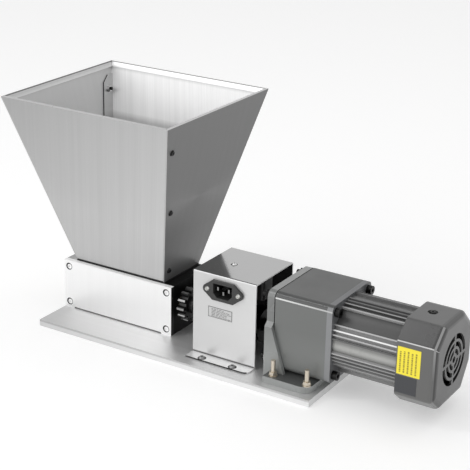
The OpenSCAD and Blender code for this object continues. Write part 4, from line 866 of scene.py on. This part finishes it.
def add_thread(made, place, radius, pitch, length):
    """A threaded sleeve from z = 0 to length of place. Its crests stand just outside the plain rod."""
    crest, root = radius + THREAD_CREST, radius - THREAD_ROOT
    rings = []
    for step in range(int(length / pitch * THREAD_STEPS) + 1):
        z = step * pitch / THREAD_STEPS
        ring = []
        for k in range(THREAD_SIDES):
            angle = 2 * math.pi * k / THREAD_SIDES
            turn = (z / pitch - k / THREAD_SIDES) % 1
            r = root + (crest - root) * (1 - abs(2 * turn - 1))
            ring.append(made.verts.new(place @ Vector((r * math.cos(angle), r * math.sin(angle), z))))
        rings.append(ring)
    join_rings(made, rings, False)


def make_foot_threads():
    low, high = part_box("foot_bolts")
    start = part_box("foot_nuts")[1].z
    made = bmesh.new()
    for x, y in corner_places(low, high, (X, Y), (HEAD_RADIUS, HEAD_RADIUS)):
        place = Matrix.Translation((x, y, start))
        add_thread(made, place, M5_RADIUS, M5_PITCH, high.z - start - TIP_CHAMFER)
    add_piece(made, "foot_bolt_threads", "warm_zinc", "foot_bolts", THREAD_SMOOTH_BELOW)


def make_through_threads():
    low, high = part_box("through_screws")
    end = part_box("through_nuts")[0].x
    made = bmesh.new()
    for y, z in corner_places(low, high, (Y, Z), (HEAD_RADIUS, HEAD_RADIUS)):
        place = Matrix.Translation((low.x + TIP_CHAMFER, y, z)) @ ALONG_X
        add_thread(made, place, M6_RADIUS, M6_PITCH, end - low.x - TIP_CHAMFER)
    add_piece(made, "through_screw_threads", "black_steel", "through_screws", THREAD_SMOOTH_BELOW)


# Painted shadow round each screw head: a black ring on the surface under the head, which on the side plates
# also stands for the gap round the countersunk head and is shifted to one side
RING_SIDES = 32
RING_HEIGHT = 0.05 * MM
SIDE_HEAD_R = 4.1 * MM
SIDE_RING_SHIFT = 0.7 * MM
COVER_HEAD_R = 4 * MM
COVER_HEAD_HEIGHT = 2 * MM


def add_ring(made, place, inner, outer, shift=0.0):
    """A flat ring that stands on z = 0 of place. shift moves its hole along place's X."""
    rings = [[] for _ in range(4)]
    for k in range(RING_SIDES):
        angle = 2 * math.pi * k / RING_SIDES
        section = [(inner, 0, shift), (outer, 0, 0), (outer, RING_HEIGHT, 0), (inner, RING_HEIGHT, shift)]
        for ring, (radius, z, aside) in zip(rings, section):
            point = Vector((radius * math.cos(angle) + aside, radius * math.sin(angle), z))
            ring.append(made.verts.new(place @ point))
    join_rings(made, rings, True)


def make_side_screw_gap_shadows():
    low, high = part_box("side_plate_screws")
    made = bmesh.new()
    for x, z in corner_places(low, high, (X, Z), (SIDE_HEAD_R, SIDE_HEAD_R)):
        for y, turn in ((low.y, 90), (high.y, -90)):
            place = Matrix.Translation((x, y, z)) @ Matrix.Rotation(math.radians(turn), 4, "X")
            add_ring(made, place, SIDE_HEAD_R - 1 * MM, SIDE_HEAD_R + 0.3 * MM, SIDE_RING_SHIFT)
    add_piece(made, "side_screw_gap_shadows", "painted_shade_black", "side_plate_screws")


def make_capacitor_screw_shadow():
    low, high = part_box("capacitor_screw")
    head_r = (high.x - low.x) / 2
    made = bmesh.new()
    place = Matrix.Translation(((low.x + high.x) / 2, (low.y + high.y) / 2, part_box("drive_cover")[1].z))
    add_ring(made, place, head_r - 0.2 * MM, head_r + 0.6 * MM)
    add_piece(made, "capacitor_screw_shadow", "painted_shade_black", "capacitor_screw")


def make_cover_screw_shadows():
    low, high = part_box("cover_screws")
    made = bmesh.new()
    for x, y in corner_places(low, high, (X, Y), (COVER_HEAD_R, COVER_HEAD_R)):
        place = Matrix.Translation((x, y, high.z - COVER_HEAD_HEIGHT))
        add_ring(made, place, COVER_HEAD_R - 0.7 * MM, COVER_HEAD_R + 0.9 * MM)
    add_piece(made, "cover_screw_shadows", "painted_shade_black", "cover_screws")


# Plain marks printed on the labels. They are bars, never letters. Their places and sizes are shares of the
# label's width and height, and the multiples of GOLDEN spread their lengths.
GOLDEN = 0.618
INK = 0.04 * MM
LABEL_COLUMNS = 5
LABEL_ROWS = 12
PLATE_ROWS = 6
PLATE_BARS = 5
PLATE_FRAME = ((0, 1, 0, 0.05), (0, 1, 0.95, 1), (0, 0.02, 0, 1), (0.98, 1, 0, 1))


def add_box(made, low, high):
    size = Vector(high) - Vector(low)
    place = Matrix.Translation((Vector(low) + Vector(high)) / 2) @ Matrix.Diagonal((*size, 1))
    bmesh.ops.create_cube(made, size=1, matrix=place)


def add_mark(made, node, left, right, bottom, top):
    """A thin bar on the front of a label. Its sides are shares of the label's width and height."""
    low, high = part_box(node)
    width, height = high.x - low.x, high.z - low.z
    add_box(made, (low.x + left * width, low.y - INK, low.z + bottom * height),
            (low.x + right * width, low.y, low.z + top * height))


def make_label_marks():
    """Upright columns of short bars on the yellow label."""
    bar_width, gap, top = 0.07, 0.018, 0.9
    made = bmesh.new()
    for column in range(LABEL_COLUMNS):
        left = 0.1 + 0.17 * column
        bottom = 0.08
        for row in range(LABEL_ROWS):
            length = 0.03 + 0.05 * ((3 * column + row) * GOLDEN % 1)
            if bottom + length > top:
                break
            add_mark(made, "motor_label", left, left + bar_width, bottom, bottom + length)
            bottom += length + gap
    add_piece(made, "motor_label_marks", "brown_ink", "motor_label")


def make_plate_marks():
    """Rows of faint bars and a thin frame on the plate under the inlet."""
    gap, right_end = 0.03, 0.95
    made = bmesh.new()
    for row in range(PLATE_ROWS):
        rise = 0.14 * row
        left = 0.14
        for _ in range(PLATE_BARS):
            width = 0.05 + 0.14 * ((5 * row + 7 * left) * GOLDEN % 1)
            if left + width > right_end:
                break
            add_mark(made, "rating_plate", left, left + width, 0.1 + rise, 0.15 + rise)
            left += width + gap
    for sides in PLATE_FRAME:
        add_mark(made, "rating_plate", *sides)
    add_piece(made, "rating_plate_marks", "faded_ink", "rating_plate")


def make_motor_panel():
    """A dark bare panel under the yellow label."""
    low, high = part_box("motor_label")
    left, right = low.x - 1 * MM, high.x - 3 * MM
    bottom, top = low.z - 21 * MM, low.z - 1.5 * MM
    made = bmesh.new()
    add_box(made, (left, low.y, bottom), (right, high.y, top))
    add_piece(made, "motor_panel", "panel_grey", "motor_label")


make_camera()
make_studio()
finish_nodes()
for node_name in NODES:
    soften(node_name)
make_foot_nuts()
make_foot_threads()
make_through_threads()
make_side_screw_gap_shadows()
make_capacitor_screw_shadow()
make_cover_screw_shadows()
make_label_marks()
make_plate_marks()
make_motor_panel()
